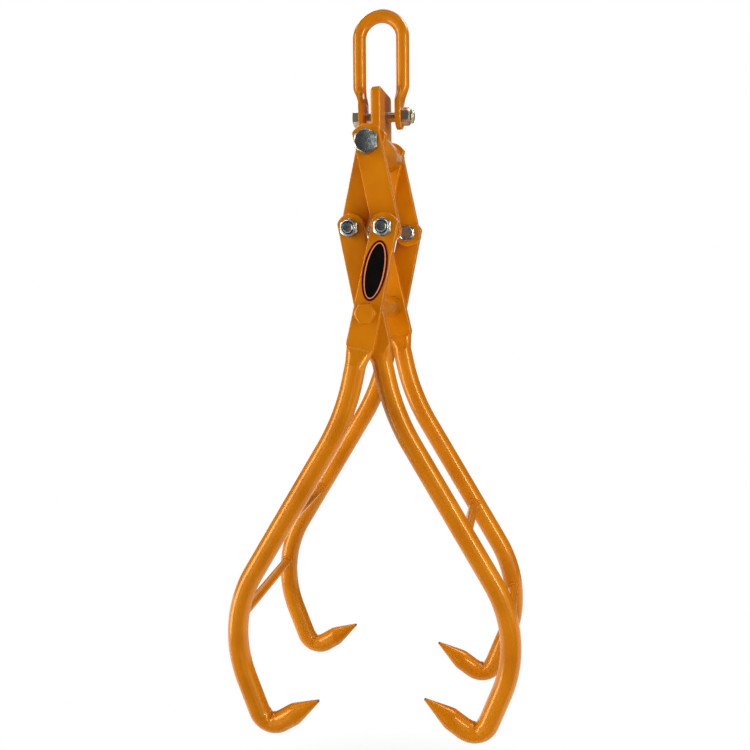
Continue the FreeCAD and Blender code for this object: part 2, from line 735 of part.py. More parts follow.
def hexagon(name, flats, height, base_z):
    thing = doc.addObject("Part::Prism", name)
    thing.Polygon = 6
    bind(thing, Circumradius=flats + " / sqrt(3)", Height=height)
    bind(thing, **{"Placement.Base.z": base_z})
    return thing


def together(kind, name, shapes):
    thing = doc.addObject("Part::" + kind, name)
    thing.Shapes = shapes
    return thing


def less(name, base, tool):
    thing = doc.addObject("Part::Cut", name)
    thing.Base = base
    thing.Tool = tool
    return thing


def make_bolt(label, family, nut, grip, placement):
    """Hexagon head below the bearing face, shank above it, up to just past the nut."""
    size = "Sizes.%s_bolt_" % family
    head = size + "head"
    radius = size + "diameter / 2"
    reach = grip + value("Sizes.%s_nut_hex + Sizes.%s_nut_collar + Sizes.bolt_end_stand" % (nut, nut))
    end = radius + " / 6"
    block = hexagon(label + "_hexagon", size + "flats", head, "-" + head)
    face = size + "flats * 0.47"
    rounding = cone(label + "_rounding", face, face + " + 2 * " + head, head, "-" + head)
    top = together("MultiCommon", label + "_head", [block, rounding])
    shank = cylinder(label + "_shank", radius, "%.6f - " % reach + end, "0")
    nose = cone(label + "_nose", radius, radius + " * 5 / 6", end, "%.6f - " % reach + end)
    keep(together("MultiFuse", label + "_whole", [top, shank, nose]), label, placement)


def make_nut(label, family, placement):
    """Lock nut: a hexagon with a round collar, and a nylon ring in the collar."""
    size = "Sizes.%s_" % family
    flats = size + "bolt_flats"
    hexed = size + "nut_hex"
    collar = size + "nut_collar"
    thread = size + "bolt_diameter / 2 + Sizes.thread_gap"
    pocket = size + "bolt_diameter / 2 + Sizes.insert_wall"
    wall = pocket + " + Sizes.collar_wall"
    block = hexagon(label + "_hexagon", flats, hexed, "0")
    face = flats + " * 0.47"
    rounding = cone(label + "_rounding", face + " + 2 * " + hexed, face, hexed, "0")
    lower = together("MultiCommon", label + "_lower", [block, rounding])
    ring = cylinder(label + "_ring", wall, collar + " * 0.7", hexed)
    lip_base = hexed + " + " + collar + " * 0.7"
    lip = cone(label + "_lip", wall, wall + " - Sizes.collar_wall * 0.7", collar + " * 0.3", lip_base)
    outside = together("MultiFuse", label + "_outside", [lower, ring, lip])
    bore = cylinder(label + "_bore", thread, hexed + " + " + collar, "0")
    seat = cylinder(label + "_seat", pocket, collar, hexed)
    inside = together("MultiFuse", label + "_inside", [bore, seat])
    keep(less(label + "_whole", outside, inside), label, placement)
    tall = collar + " * 0.85"
    disc = cylinder(label + "_disc", pocket, tall, hexed)
    core = cylinder(label + "_core", thread, tall, hexed)
    keep(less(label + "_ring_cut", disc, core), label.replace("nut", "nut_insert"), placement)


def along_y(x, y, z, towards, turn):
    """Turns a fastener's +Z to the front (towards -1) or to the rear, and its hexagon about its axis."""
    return Placement(Vector(x, y, z), Rotation(X_AXIS, -90 * towards).multiply(Rotation(Z_AXIS, turn)))


def make_fasteners():
    # Shackle bolt, head on the left eye and nut on the right one
    outside = value("Sizes.shackle_jaw / 2 + Sizes.shackle_eye_thickness")
    towards_x = Rotation(Y_AXIS, 90)
    bolt_seat = Placement(Vector(-outside, 0, shackle_bolt_z), towards_x)
    make_bolt("shackle_bolt", "shackle", "shackle", 2 * outside, bolt_seat)
    make_nut("shackle_nut", "shackle", Placement(Vector(outside, 0, shackle_bolt_z), towards_x))

    # Top pivot bolt, head at the front
    outside = middle_layer_out + end_gap
    make_bolt("top_pivot_bolt", "top", "top", 2 * outside, along_y(0, -outside, top_z, 1, 30))
    make_nut("top_pivot_nut", "top", along_y(0, outside, top_z, 1, 30))

    # Lower pivot bolt, head at the front
    outside = outer_layer_out
    make_bolt("lower_pivot_bolt", "lower", "lower", 2 * outside, along_y(0, -outside, lower_z, 1, 0))
    make_nut("lower_pivot_nut", "lower", along_y(0, outside, lower_z, 1, 0))

    # Joint bolts, heads inside and nuts outside
    grip = 2 * flat + gap + end_gap
    for depth, front in (("front", -1), ("rear", 1)):
        for side, hand, inside in (("right", 1, middle_layer_in), ("left", -1, inner_layer_in)):
            name = "%s_%s" % (depth, side)
            head_y = front * (inside - end_gap)
            nut_y = head_y + front * grip
            head_seat = along_y(hand * joint_x, head_y, joint_z, front, 30)
            nut_seat = along_y(hand * joint_x, nut_y, joint_z, front, 30)
            make_bolt("joint_bolt_" + name, "joint", "joint", grip, head_seat)
            make_nut("joint_nut_" + name, "joint", nut_seat)


make_fasteners()


# Label: a thin oval on the front left arm's flat, just below midway from the joint to the lower pivot

def make_label():
    body = add_body("label_plate")
    sketch = add_sketch(body, "label_outline", "XZ_Plane")
    tall = value("Sizes.label_length") / 2
    wide = value("Sizes.label_width") / 2
    oval = sketch.addGeometry(Part.Ellipse(Vector(0, tall, 0), Vector(wide, 0, 0), Vector(0, 0, 0)), False)
    sketch.exposeInternalGeometry(oval)
    join(sketch, oval, CENTRE, ORIGIN, START)
    fix(sketch, "Vertical", oval + 1)
    measure(sketch, "length", "Distance", "Sizes.label_length", oval + 1)
    measure(sketch, "width", "Distance", "Sizes.label_width", oval + 2)
    pad = body.newObject("PartDesign::Pad", "label_film")
    pad.Profile = sketch
    bind(pad, Length="Sizes.label_thickness")
    sketch.Visibility = False
    place = (0, value("Sizes.pivot_spacing / 2 - Sizes.label_drop"))
    across, upward = turned_point(place, -1)
    middle = Vector(across, -outer_layer_out, upward)
    keep(body, "label_plate", Placement(middle, Rotation(Y_AXIS, rest_angle)))


make_label()
doc.recompute()

# Every object has to be sound before anything is written
for thing in doc.Objects:
    if "Invalid" in thing.State or "Error" in thing.State:
        raise RuntimeError("%s failed: %s" % (thing.Name, thing.State))
for thing in nodes:
    if thing.Shape.isNull() or not thing.Shape.isValid() or len(thing.Shape.Solids) != 1:
        raise RuntimeError("%s has no single sound solid" % thing.Label)

os.makedirs("parts", exist_ok=True)
for thing in nodes:
    thing.Shape.exportStep("parts/%s.step" % thing.Label)
    print("%-26s %10.1f mm3" % (thing.Label, thing.Shape.Volume))
print("%d sub-parts, lower pivot at z %.2f" % (len(nodes), lower_z))
print("joints at x %.3f z %.3f" % (joint_x, joint_z))
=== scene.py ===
import json
import math
from collections import namedtuple

import bmesh
import bpy
from bpy.props import FloatProperty, FloatVectorProperty, IntProperty, PointerProperty
from mathutils import Matrix, Vector, noise


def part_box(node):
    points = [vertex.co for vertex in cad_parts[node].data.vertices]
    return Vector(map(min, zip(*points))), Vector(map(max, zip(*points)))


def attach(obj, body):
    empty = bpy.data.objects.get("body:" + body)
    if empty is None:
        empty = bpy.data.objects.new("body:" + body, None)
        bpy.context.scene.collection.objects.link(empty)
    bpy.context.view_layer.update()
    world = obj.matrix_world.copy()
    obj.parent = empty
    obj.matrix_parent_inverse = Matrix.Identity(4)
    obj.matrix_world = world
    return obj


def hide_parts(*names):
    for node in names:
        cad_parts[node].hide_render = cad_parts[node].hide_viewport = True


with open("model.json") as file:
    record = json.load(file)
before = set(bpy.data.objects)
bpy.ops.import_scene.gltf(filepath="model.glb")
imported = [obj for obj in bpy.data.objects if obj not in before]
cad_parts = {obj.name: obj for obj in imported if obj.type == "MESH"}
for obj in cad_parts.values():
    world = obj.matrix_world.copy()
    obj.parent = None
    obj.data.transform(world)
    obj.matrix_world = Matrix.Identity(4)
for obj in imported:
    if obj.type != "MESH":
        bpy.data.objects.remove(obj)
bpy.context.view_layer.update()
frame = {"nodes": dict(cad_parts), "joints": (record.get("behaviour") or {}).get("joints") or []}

bl_info = {
    "name": "Lifting tongs",
    "version": (1, 0, 0),
    "blender": (4, 5, 0),
    "location": "View3D > Sidebar > Lifting tongs",
    "description": "Dresses the solids of four-claw lifting tongs with forged, painted and plated pieces",
    "category": "Object",
}

MM = 0.001
X_AXIS = (1.0, 0.0, 0.0)
Y_AXIS = (0.0, 1.0, 0.0)
Z_AXIS = (0.0, 0.0, 1.0)
JOINTS = {joint["name"]: joint for joint in frame["joints"]}

# Places of the axes, read from the packed joints
SHACKLE_BOLT_Z = JOINTS["shackle_swing"]["pos_m"][2]
TOP_Z = JOINTS["jaw_opening"]["pos_m"][2]
JOINT_X = JOINTS["left_arm_turn"]["pos_m"][0]
JOINT_Z = JOINTS["left_arm_turn"]["pos_m"][2]
LOWER_Z = 2 * JOINT_Z - TOP_Z
PIVOT_SPACING = math.hypot(JOINT_X, TOP_Z - JOINT_Z)
REST_ANGLE = math.atan2(JOINT_X, TOP_Z - JOINT_Z)

# Layers of flats, read from the packed solids: the left links lie inside, the left arms outside
INNER_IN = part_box("link_rear_left")[0][1]
INNER_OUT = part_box("link_rear_left")[1][1]
MIDDLE_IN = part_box("link_rear_right")[0][1]
MIDDLE_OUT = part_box("link_rear_right")[1][1]
FLAT = INNER_OUT - INNER_IN
OUTER_IN = MIDDLE_OUT + MIDDLE_IN - INNER_OUT
OUTER_OUT = OUTER_IN + FLAT
END_GAP = INNER_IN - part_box("hanger_sleeve")[1][1]

# Families of bolts, in the order of their sizes: shackle and joints, lower pivot, top pivot
M10, M12, M14 = range(3)

# Steps of the meshes
ROUND_STEPS = 10
END_STEPS = 30
EYE_STEPS = 40
HOLE_STEPS = 40
TAB_CORNER_STEPS = 14
ARM_PRESS_STEPS = 16
EYE_PRESS_STEPS = 18
POINT_STEPS = 18
LEG_STEPS = 6
CROWN_STEPS = 24
RING_STEPS = 72
CHAMFER_STEPS = 7
LIP_STEPS = 8
OVAL_STEPS = 96
WELD_RING_STEPS = 36
TAB_WELD_STEPS = (20, 7)
THREAD_RIDGES = 4
TIP_PARTS = (0.5, 0.85, 1.0)

# Pattern inside the sharp bend of a claw: three wavering folds and some lumps, which fade out to the sides
FOLD_RADIANS = 19.0
FOLD_WAVER = 0.9
FOLD_SHARE = 0.5
FOLD_FADE = 0.7
NOTCH_FADE = 1.5
LUMPS_ALONG = 5.0
LUMPS_ROUND = 1.6

# Limits of the meshes: points closer than this are one, and edges sharper than these show
SAME_PLACE = 1e-7
SHARP = math.radians(28.0)
FASTENER_SHARP = math.radians(22.0)


# Kinds of setting

def length(title, text, millimetres):
    return FloatProperty(name=title, description=text, default=millimetres * MM, unit="LENGTH", precision=5)


def family(title, text, m10, m12, m14):
    return FloatVectorProperty(name=title, description=text, default=(m10 * MM, m12 * MM, m14 * MM), size=3,
                               unit="LENGTH", precision=5)


def angle(title, text, degrees):
    return FloatProperty(name=title, description=text, default=math.radians(degrees), subtype="ANGLE",
                         unit="ROTATION")


def share(title, text, amount):
    return FloatProperty(name=title, description=text, default=amount, subtype="FACTOR", min=0.0, max=1.0)


def power(title, text, watts):
    return FloatProperty(name=title, description=text, default=watts, min=0.0, unit="POWER")


def tint(title, text, red, green, blue):
    return FloatVectorProperty(name=title, description=text, default=(red, green, blue), subtype="COLOR",
                               size=3, min=0.0, max=1.0)


def group(title, kind):
    return PointerProperty(name=title, description=kind.__doc__, type=kind)


class FlatSizes(bpy.types.PropertyGroup):
    """Sizes of the links and of the arms' pressed flats"""
    link_width: length("Link width", "Width of a flat link", 25.2)
    arm_width: length("Arm width", "Width of an arm's flat at its upper end", 24.0)
    crease_width: length("Crease width", "Width of an arm's flat where the pressing ends", 27.0)
    top_end_swell: length("Top end swell", "How far a link's top end arc stands beyond half its width", 4.8)
    joint_end_swell: length("Joint end swell", "The same at the joint bolts", 1.7)
    edge_round: length("Edge rounding", "Radius of the rounded edges under the paint", 0.9)
    hole_round: length("Hole rounding", "Chamfer of the bolt holes", 0.5)
    press_flat: share("Pressed flat", "Share of a pressed face that is flat at the crease", 0.947)
    press_blend: length("Press blend", "Length over which a flat's edge goes over into the pressing", 2.5)


class BarSizes(bpy.types.PropertyGroup):
    """Sizes of the round bar of a claw arm, in the order of its path from the flat to the point"""
    diameter: length("Bar diameter", "Diameter of the round bar", 20.0)
    setback: length("Setback", "How far the bar stands back from the flat's bearing face", 0.8)
    crease_distance: length("Crease distance", "From the lower pivot down to the crease", 32.0)
    press_length: length("Press length", "From the crease to the full round", 17.0)
    upper_run: length("Upper run", "Straight run below the pressing", 15.4)
    upper_bend_radius: length("Upper bend radius", "Radius of the outward bend", 217.0)
    upper_bend_angle: angle("Upper bend angle", "Turn of the outward bend", 18.7)
    arm_run: length("Arm run", "Straight run down to the knee", 149.0)
    knee_radius: length("Knee radius", "Radius of the inward bend", 122.0)
    knee_angle: angle("Knee angle", "Turn of the inward bend", 52.2)
    crossbar_turn: angle("Crossbar turn", "Turn of the inward bend down to the lower crossbar", 23.6)
    lower_run: length("Lower run", "Straight run below the knee", 32.8)
    claw_bend_radius: length("Claw bend radius", "Radius of the sharp bend of the claw", 17.2)
    claw_bend_angle: angle("Claw bend angle", "Turn of the sharp bend", 102.0)
    wrinkle: length("Wrinkle depth", "Height of the folds inside the sharp bend", 0.55)
    notch_share: share("Notch", "How sharp the inside of the sharp bend is; 1 is a sharp corner", 0.7)
    claw_run: length("Claw run", "Round run before the point", 13.0)
    point_length: length("Point length", "Length of the forged point", 30.6)
    point_ease: share("Point ease", "How softly the cone of the point starts; 0 is a sharp edge", 0.006)
    tip_radius: length("Tip radius", "Radius at the tip of the point", 1.2)
    tip_bulge: share("Tip bulge", "Height of the rounded tip as a share of its radius", 0.6)
    bare_length: length("Bare tip", "Length at the tip where the paint has come off", 1.6)
    bare_start: share("Bare start", "How worn the paint is where the bare length starts", 0.42)
    bare_end: share("Bare end", "How worn the paint is at the end of the cone", 0.92)
    crossbar_diameter: length("Crossbar diameter", "Diameter of the bars between front and rear arms", 10.0)


class HeadSizes(bpy.types.PropertyGroup):
    """Sizes of the shackle, the hanger and the welds"""
    bow_diameter: length("Bow diameter", "Diameter of the shackle's round bar", 13.2)
    bow_half_width: length("Bow half width", "From the middle to the centre of a leg", 22.2)
    leg_end: length("Leg end", "Height above the bolt at which the leg is fully round", 31.0)
    neck: length("Neck", "Height above the bolt at which the pressed eye ends", 12.8)
    eye_radius: length("Eye radius", "Radius of a pressed eye", 12.6)
    eye_thickness: length("Eye thickness", "Thickness of a pressed eye", 5.6)
    jaw: length("Jaw", "Space between the two eyes", 31.6)
    tab_depth: length("Tab depth", "Depth of the hanger tab, front to back", 58.0)
    tab_thickness: length("Tab thickness", "Thickness of the hanger tab", 10.0)
    tab_above: length("Tab above bolt", "From the shackle bolt to the top of the tab", 26.0)
    tab_foot: share("Tab foot", "Height of the tab's foot as a share of the sleeve's radius", 0.8)
    tab_corner: length("Tab corner", "Radius of the tab's two upper corners", 7.0)
    tab_edge: length("Tab edge", "Radius of the rounded edges of the tab", 2.8)
    sleeve_diameter: length("Sleeve diameter", "Outside diameter of the hanger's tube", 27.0)
    spacer_diameter: length("Spacer diameter", "Outside diameter of the lower pivot's tube", 21.3)
    tube_edge: length("Tube edge", "Easing of the edges of both tubes", 0.8)
    clearance: length("Clearance", "Gap between a bolt and its hole", 0.1)
    weld_radius: length("Weld radius", "Half width of a weld bead", 1.9)
    weld_pitch: length("Weld pitch", "Spacing of the ripples of a weld bead", 1.7)
    weld_seed: IntProperty(name="Weld seed", description="Seed of the weld's unevenness", default=7)


class FastenerSizes(bpy.types.PropertyGroup):
    """Sizes of the bolts and lock nuts; the first five have one size for each family"""
    diameter: family("Diameter", "Diameter of the bolts", 10.0, 12.0, 14.0)
    flats: family("Across flats", "Width across the flats of heads and nuts", 16.0, 18.0, 21.0)
    head: family("Head height", "Height of the heads", 7.0, 8.0, 9.0)
    hexagon: family("Nut height", "Height of the hexagons of the nuts", 8.0, 9.5, 11.0)
    collar: family("Collar height", "Height of the collars of the nuts", 3.6, 4.2, 4.8)
    face_share: share("Face share", "Radius of a chamfered face as a share of the width across flats", 0.47)
    chamfer_angle: angle("Chamfer angle", "Slope of the chamfers of heads and nuts", 29.745)
    washer_height: length("Washer height", "Height of the washer face under a head", 0.5)
    head_dish: length("Head dish", "Depth of the dished top of a head", 0.25)
    collar_wall: length("Collar wall", "Wall of a nut's collar", 1.0)
    collar_foot: length("Collar foot", "Size of the fillet and chamfers of a nut", 0.5)
    insert_wall: length("Insert wall", "Wall of the nylon ring", 1.2)
    insert_edge: length("Insert edge", "Easing of the nylon ring's edges", 0.3)
    thread_gap: length("Thread gap", "Gap between a bolt and its nut", 0.05)
    thread_pitch: length("Thread pitch", "Pitch of the threads that show at the bolt ends", 1.5)
    end_stand: length("End stand", "How far a bolt's end stands out of its nut", 0.6)


class LabelSizes(bpy.types.PropertyGroup):
    """Sizes of the blank oval label"""
    drop: length("Drop", "How far below midway of the flat's two bolts the label sits", 0.4)
    long_axis: length("Label length", "Length of the oval", 57.0)
    short_axis: length("Label width", "Width of the oval", 22.4)
    thickness: length("Label thickness", "Thickness of the film", 0.4)
    edge: length("Label edge", "Easing of the film's edge", 0.12)
    rim: length("Rim", "Width of the dark red rim", 2.0)
    ring: length("Ring", "Width of the salmon ring", 1.1)


class FinishColours(bpy.types.PropertyGroup):
    """Colours of the finishes"""
    paint: tint("Paint", "Orange powder coat", 0.65, 0.212, 0.004)
    paint_deep: tint("Deep paint", "The coat where it lies thicker", 0.55, 0.163, 0.0015)
    gloss: tint("Gloss", "Warm tint of the coat's gloss", 1.0, 0.75, 0.30)
    steel: tint("Bare steel", "Steel where the paint has come off", 0.24, 0.19, 0.12)
    zinc: tint("Zinc", "Bright zinc plate", 0.60, 0.65, 0.72)
    zinc_dull: tint("Dull zinc", "Zinc plate where it has dulled", 0.32, 0.36, 0.39)
    yellow_zinc: tint("Yellow zinc", "Yellow passivated zinc of the shackle bolt", 0.70, 0.60, 0.36)
    dark_zinc: tint("Dark zinc", "Dark patches on the head of the top pivot bolt", 0.15, 0.18, 0.16)
    nylon: tint("Nylon", "Ring of the lock nuts", 0.03, 0.03, 0.034)
    label_field: tint("Label field", "Middle of the label", 0.003, 0.003, 0.003)
    label_ring: tint("Label ring", "Thin ring of the label", 0.62, 0.22, 0.125)
    label_rim: tint("Label rim", "Border of the label", 0.055, 0.003, 0.004)
    floor: tint("Floor", "Pale floor", 0.88, 0.88, 0.88)


class StageSizes(bpy.types.PropertyGroup):
    """Camera, lamps, floor and dark cloths"""
    camera_place: FloatVectorProperty(name="Camera place", description="Where the camera stands", size=3,
                                      default=(0.15079, -0.71031, -0.24381), subtype="TRANSLATION",
                                      unit="LENGTH")
    camera_yaw: angle("Camera yaw", "How far the camera stands round to the right", 11.52)
    camera_pitch: angle("Camera pitch", "How far the camera looks down", 3.68)
    camera_roll: angle("Camera roll", "Lean of the camera", 0.37)
    lens: FloatProperty(name="Lens", description="Focal length on a 36 mm frame, in mm", default=33.965,
                        unit="CAMERA")
    shift_x: FloatProperty(name="Shift across", description="Camera shift across the frame", default=-0.01804)
    shift_y: FloatProperty(name="Shift upward", description="Camera shift up the frame", default=-0.0836)
    floor_drop: length("Floor drop", "How far the floor lies below the hook", 1250.0)
    floor_radius: length("Floor radius", "Radius of the floor", 4000.0)
    top_power: power("Top lamp", "Power of the lamp above", 0.8)
    left_power: power("Left lamp", "Power of the lamp at the left", 18.0)
    right_power: power("Right lamp", "Power of the lamp at the right", 4.5)
    strip_power: power("Strip lamp", "Power of the narrow lamp at the right", 8.5)
    front_power: power("Front lamps", "Power of each of the two wide lamps in front", 2.2)
    rear_power: power("Rear lamps", "Power of each of the two lamps behind", 14.0)
    lamp_tint: tint("Lamp tint", "Warm tint of the lamps at both sides", 1.0, 0.9, 0.68)
    flag_grey: share("Flag grey", "Grey of the dark cloths", 0.08)
    ambient: share("Ambient", "Brightness of the light from all round", 0.16)


class TongsSettings(bpy.types.PropertyGroup):
    """All settings of the tongs"""
    flats: group("Flats", FlatSizes)
    bar: group("Bar", BarSizes)
    head: group("Head", HeadSizes)
    fasteners: group("Fasteners", FastenerSizes)
    label: group("Label", LabelSizes)
    colours: group("Colours", FinishColours)
    stage: group("Stage", StageSizes)


# Nodes

def feed(tree, node, inputs):
    """Links fields to a node's inputs, or sets numbers and colours on them."""
    for key, value in inputs.items():
        socket = node.inputs[key]
        if isinstance(value, bpy.types.NodeSocket):
            tree.links.new(value, socket)
        elif socket.type == "RGBA":
            socket.default_value = (*value, 1.0)
        else:
            socket.default_value = value


def add_node(tree, kind, inputs=None, **options):
    """The outputs of a new node with these options and inputs."""
    node = tree.nodes.new(kind)
    for name, choice in options.items():
        setattr(node, name, choice)
    feed(tree, node, inputs or {})
    return node.outputs


def noise_field(tree, scale, detail, roughness=0.5):
    """Noise over the piece's own Object coordinates."""
    place = add_node(tree, "ShaderNodeTexCoord")["Object"]
    inputs = {"Vector": place, "Scale": scale, "Detail": detail, "Roughness": roughness}
    return add_node(tree, "ShaderNodeTexNoise", inputs)["Fac"]


def spread(tree, field, low, high, to_low=0.0, to_high=1.0):
    """Stretches a field to a new range."""
    inputs = {"Value": field, "From Min": low, "From Max": high, "To Min": to_low, "To Max": to_high}
    return add_node(tree, "ShaderNodeMapRange", inputs)["Result"]


def combine(tree, operation, first, second):
    """Joins two fields by one operation."""
    return add_node(tree, "ShaderNodeMath", {0: first, 1: second}, operation=operation)[0]


def blend_numbers(tree, factor, first, second):
    """Mixes two numbers by a field."""
    return add_node(tree, "ShaderNodeMix", {0: factor, 2: first, 3: second})[0]


def blend_colours(tree, factor, first, second):
    """Mixes two colours by a field."""
    return add_node(tree, "ShaderNodeMix", {0: factor, 6: first, 7: second}, data_type="RGBA")[2]


def bump(tree, height, strength, distance):
    """A normal that follows a field of heights."""
    inputs = {"Height": height, "Strength": strength, "Distance": distance}
    return add_node(tree, "ShaderNodeBump", inputs)["Normal"]


# Materials

def material(name, dress):
    """The material of that name; for a new one, dress gives the inputs of its shader."""
    found = bpy.data.materials.get(name)
    if found:
        return found
    made = bpy.data.materials.new(name)
    made.use_nodes = True
    tree = made.node_tree
    feed(tree, tree.nodes["Principled BSDF"], dress(tree))
    return made


def paint_material(colours):
    """Gloss orange powder coat; the attribute bare shows the steel at claw tips and on bolt shanks."""
    def dress(tree):
        cloud = spread(tree, noise_field(tree, scale=22.0, detail=3.0), 0.35, 0.65)
        coat = blend_colours(tree, cloud, colours.paint, colours.paint_deep)
        gloss = spread(tree, noise_field(tree, scale=60.0, detail=4.0), 0.3, 0.7, to_low=0.15, to_high=0.23)
        bare = add_node(tree, "ShaderNodeAttribute", attribute_name="bare")["Fac"]
        chips = noise_field(tree, scale=520.0, detail=3.0, roughness=0.6)
        worn = spread(tree, combine(tree, "ADD", bare, chips), 0.95, 1.05)
        peel = noise_field(tree, scale=150.0, detail=1.0)
        return {
            "Base Color": blend_colours(tree, worn, coat, colours.steel),
            "Roughness": blend_numbers(tree, worn, gloss, 0.45),
            "Metallic": blend_numbers(tree, worn, 0.0, 0.9),
            "Specular IOR Level": 0.8,
            "Specular Tint": colours.gloss,
            "Normal": bump(tree, peel, strength=0.003, distance=0.6 * MM),
        }
    return material("orange_powder_coat", dress)


def plated_material(name, bright, dull, grain, gloss=(0.16, 0.36), patches=160.0, marks=900.0):
    """Zinc plate: clean and dulled patches, with fine marks from the forming.

    gloss is a range of roughness; patches and marks are the scales of the two patterns."""
    def dress(tree):
        patch = spread(tree, noise_field(tree, patches, detail=5.0, roughness=0.6), 0.35, 0.65)
        return {
            "Base Color": blend_colours(tree, patch, bright, dull),
            "Roughness": spread(tree, patch, 0.0, 1.0, *gloss),
            "Metallic": 1.0,
            "Normal": bump(tree, noise_field(tree, marks, detail=3.0), grain, distance=0.3 * MM),
        }
    return material(name, dress)


def nylon_material(colours):
    """Dark nylon with a fine mottling."""
    def dress(tree):
        patch = noise_field(tree, scale=700.0, detail=2.0)
        lighter = [min(1.0, 1.8 * part) for part in colours.nylon]
        return {
            "Base Color": blend_colours(tree, patch, colours.nylon, lighter),
            "Roughness": spread(tree, patch, 0.0, 1.0, to_low=0.35, to_high=0.5),
            "Normal": bump(tree, patch, strength=0.05, distance=0.3 * MM),
        }
    return material("dark_nylon", dress)


def film_material(name, colour):
    """Gloss printed film of the label, very slightly uneven where it was smoothed on."""
    def dress(tree):
        cloud = noise_field(tree, scale=90.0, detail=3.0)
        worn = [min(1.0, 1.4 * part + 0.002) for part in colour]
        ripple = noise_field(tree, scale=240.0, detail=1.0)
        return {
            "Base Color": blend_colours(tree, cloud, colour, worn),
            "Roughness": spread(tree, cloud, 0.0, 1.0, to_low=0.2, to_high=0.34),
            "Specular IOR Level": 0.05,
            "Normal": bump(tree, ripple, strength=0.04, distance=0.4 * MM),
        }
    return material(name, dress)


# Mesh tools

def mix(first, second, part):
    return first * (1 - part) + second * part


def parts(count, first=0):
    """Even parts of 1, from 0 or from the first step."""
    return [number / count for number in range(first, count + 1)]


def neighbours(items, closed=True):
    """Pairs of neighbours in a list; a closed one joins its last item to its first."""
    pairs = list(zip(items, items[1:] + items[:1]))
    return pairs if closed else pairs[:-1]


def add_row(bm, points):
    return [bm.verts.new(point) for point in points]


def skin(bm, first, second, closed=True):
    """Faces between two rows of corners."""
    faces = []
    for (here, over), (there, beyond) in neighbours(list(zip(first, second)), closed):
        faces.append(bm.faces.new((here, there, beyond, over)))
    return faces


def skin_rows(bm, rows, ring=False):
    """Faces between neighbouring rows; in a ring the last row joins the first."""
    for first, second in neighbours(rows, ring):
        skin(bm, first, second)


def close_row(bm, row, middle):
    """A fan from a row to its middle."""
    centre = bm.verts.new(middle)
    for here, there in neighbours(row):
        bm.faces.new((here, there, centre))


def settle(bm, sharp=SHARP):
    """Merges doubles, points the faces outwards and breaks the shading at the sharp edges."""
    bmesh.ops.remove_doubles(bm, verts=bm.verts, dist=SAME_PLACE)
    bmesh.ops.dissolve_degenerate(bm, dist=SAME_PLACE / 10, edges=bm.edges)
    bmesh.ops.recalc_face_normals(bm, faces=bm.faces)
    for face in bm.faces:
        face.smooth = True
    for edge in bm.edges:
        if len(edge.link_faces) == 2 and edge.calc_face_angle(0.0) > sharp:
            edge.smooth = False


def mesh_of(bm, name):
    """Turns a bmesh into a mesh."""
    mesh = bpy.data.meshes.new(name)
    bm.to_mesh(mesh)
    bm.free()
    return mesh


def add_object(name, data):
    """A new object in the scene."""
    made = bpy.data.objects.new(name, data)
    bpy.context.scene.collection.objects.link(made)
    return made


def show_mesh(mesh, name, materials, body, nodes):
    """A piece that rides on a body and stands for CAD nodes."""
    if not mesh.materials:
        for finish in materials:
            mesh.materials.append(finish)
    piece = add_object(name, mesh)
    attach(piece, body)
    if nodes:
        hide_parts(*nodes)


def show_painted(bm, settings, name, body, node):
    """A painted piece that stands for one CAD node."""
    settle(bm)
    show_mesh(mesh_of(bm, name), name, [paint_material(settings.colours)], body, [node])


def full_turn(count):
    return [2 * math.pi * part for part in parts(count)[:-1]]


def arc_points(centre, radius, start, end, count):
    """Points along an arc; angles are in radians from the first axis."""
    turns = [mix(start, end, part) for part in parts(count)]
    return [(centre[0] + radius * math.cos(turn), centre[1] + radius * math.sin(turn)) for turn in turns]


def circle_points(centre, radius, count):
    return arc_points(centre, radius, 0.0, 2 * math.pi, count)[:-1]


def end_arc(centre, half_width, swell, turned=0.0):
    """The round end of a flat, which stands a little beyond half its width."""
    radius = half_width + swell
    corner = math.acos(half_width / radius)
    return arc_points((0.0, centre), radius, turned + corner, turned + math.pi - corner, END_STEPS)


def hole_radius(settings, size):
    """Radius of the hole for a bolt of one family."""
    return settings.fasteners.diameter[size] / 2 + settings.head.clearance


class Place:
    """Puts points of a drawing (across, depth, upward) into the part's frame and back."""

    def __init__(self, origin, across, depth, upward):
        self.origin = Vector(origin)
        self.axes = Matrix((across, depth, upward)).transposed()

    def __call__(self, across, depth, upward):
        return self.origin + self.axes @ Vector((across, depth, upward))

    def back(self, point):
        return self.axes.transposed() @ (point - self.origin)


def leaning(side, face, towards, axis_z):
    """The place of a link's or an arm's flat, which leans at the rest angle about an axis along Y."""
    rise = math.cos(REST_ANGLE)
    lean = math.sin(REST_ANGLE)
    across = (side * rise, 0.0, lean)
    upward = (-side * lean, 0.0, rise)
    return Place((0.0, face, axis_z), across, (0.0, towards, 0.0), upward)


def beside_bolt(side, inside):
    """The place of a plate that the shackle bolt goes through, seen along X."""
    return Place((side * inside, 0.0, SHACKLE_BOLT_Z), Y_AXIS, (side, 0.0, 0.0), Z_AXIS)


def corner_normals(outline, closed):
    """Mitred outward normals of an outline that runs anticlockwise."""
    shortest = 0.5
    sides = []
    for here, there in neighbours(outline):
        along = (Vector(there) - Vector(here)).normalized()
        sides.append(Vector((along.y, -along.x)))
    normals = []
    for before, after in zip(sides[-1:] + sides, sides):
        middle = (before + after).normalized()
        normals.append(middle / max(shortest, middle.dot(after)))
    if not closed:
        normals[0] = Vector((math.copysign(1.0, sides[0].x), 0.0))
        normals[-1] = Vector((math.copysign(1.0, sides[-2].x), 0.0))
    return normals


def edge_profile(thickness, rounding):
    """Inset and height of the points of a flat's rounded edge, from its near face to its far face."""
    near = []
    for part in parts(ROUND_STEPS):
        turn = math.pi / 2 * (1 - part)
        near.append((rounding * (1 - math.cos(turn)), rounding * (1 - math.sin(turn))))
    far = [(inset, thickness - height) for inset, height in reversed(near)]
    return near + far


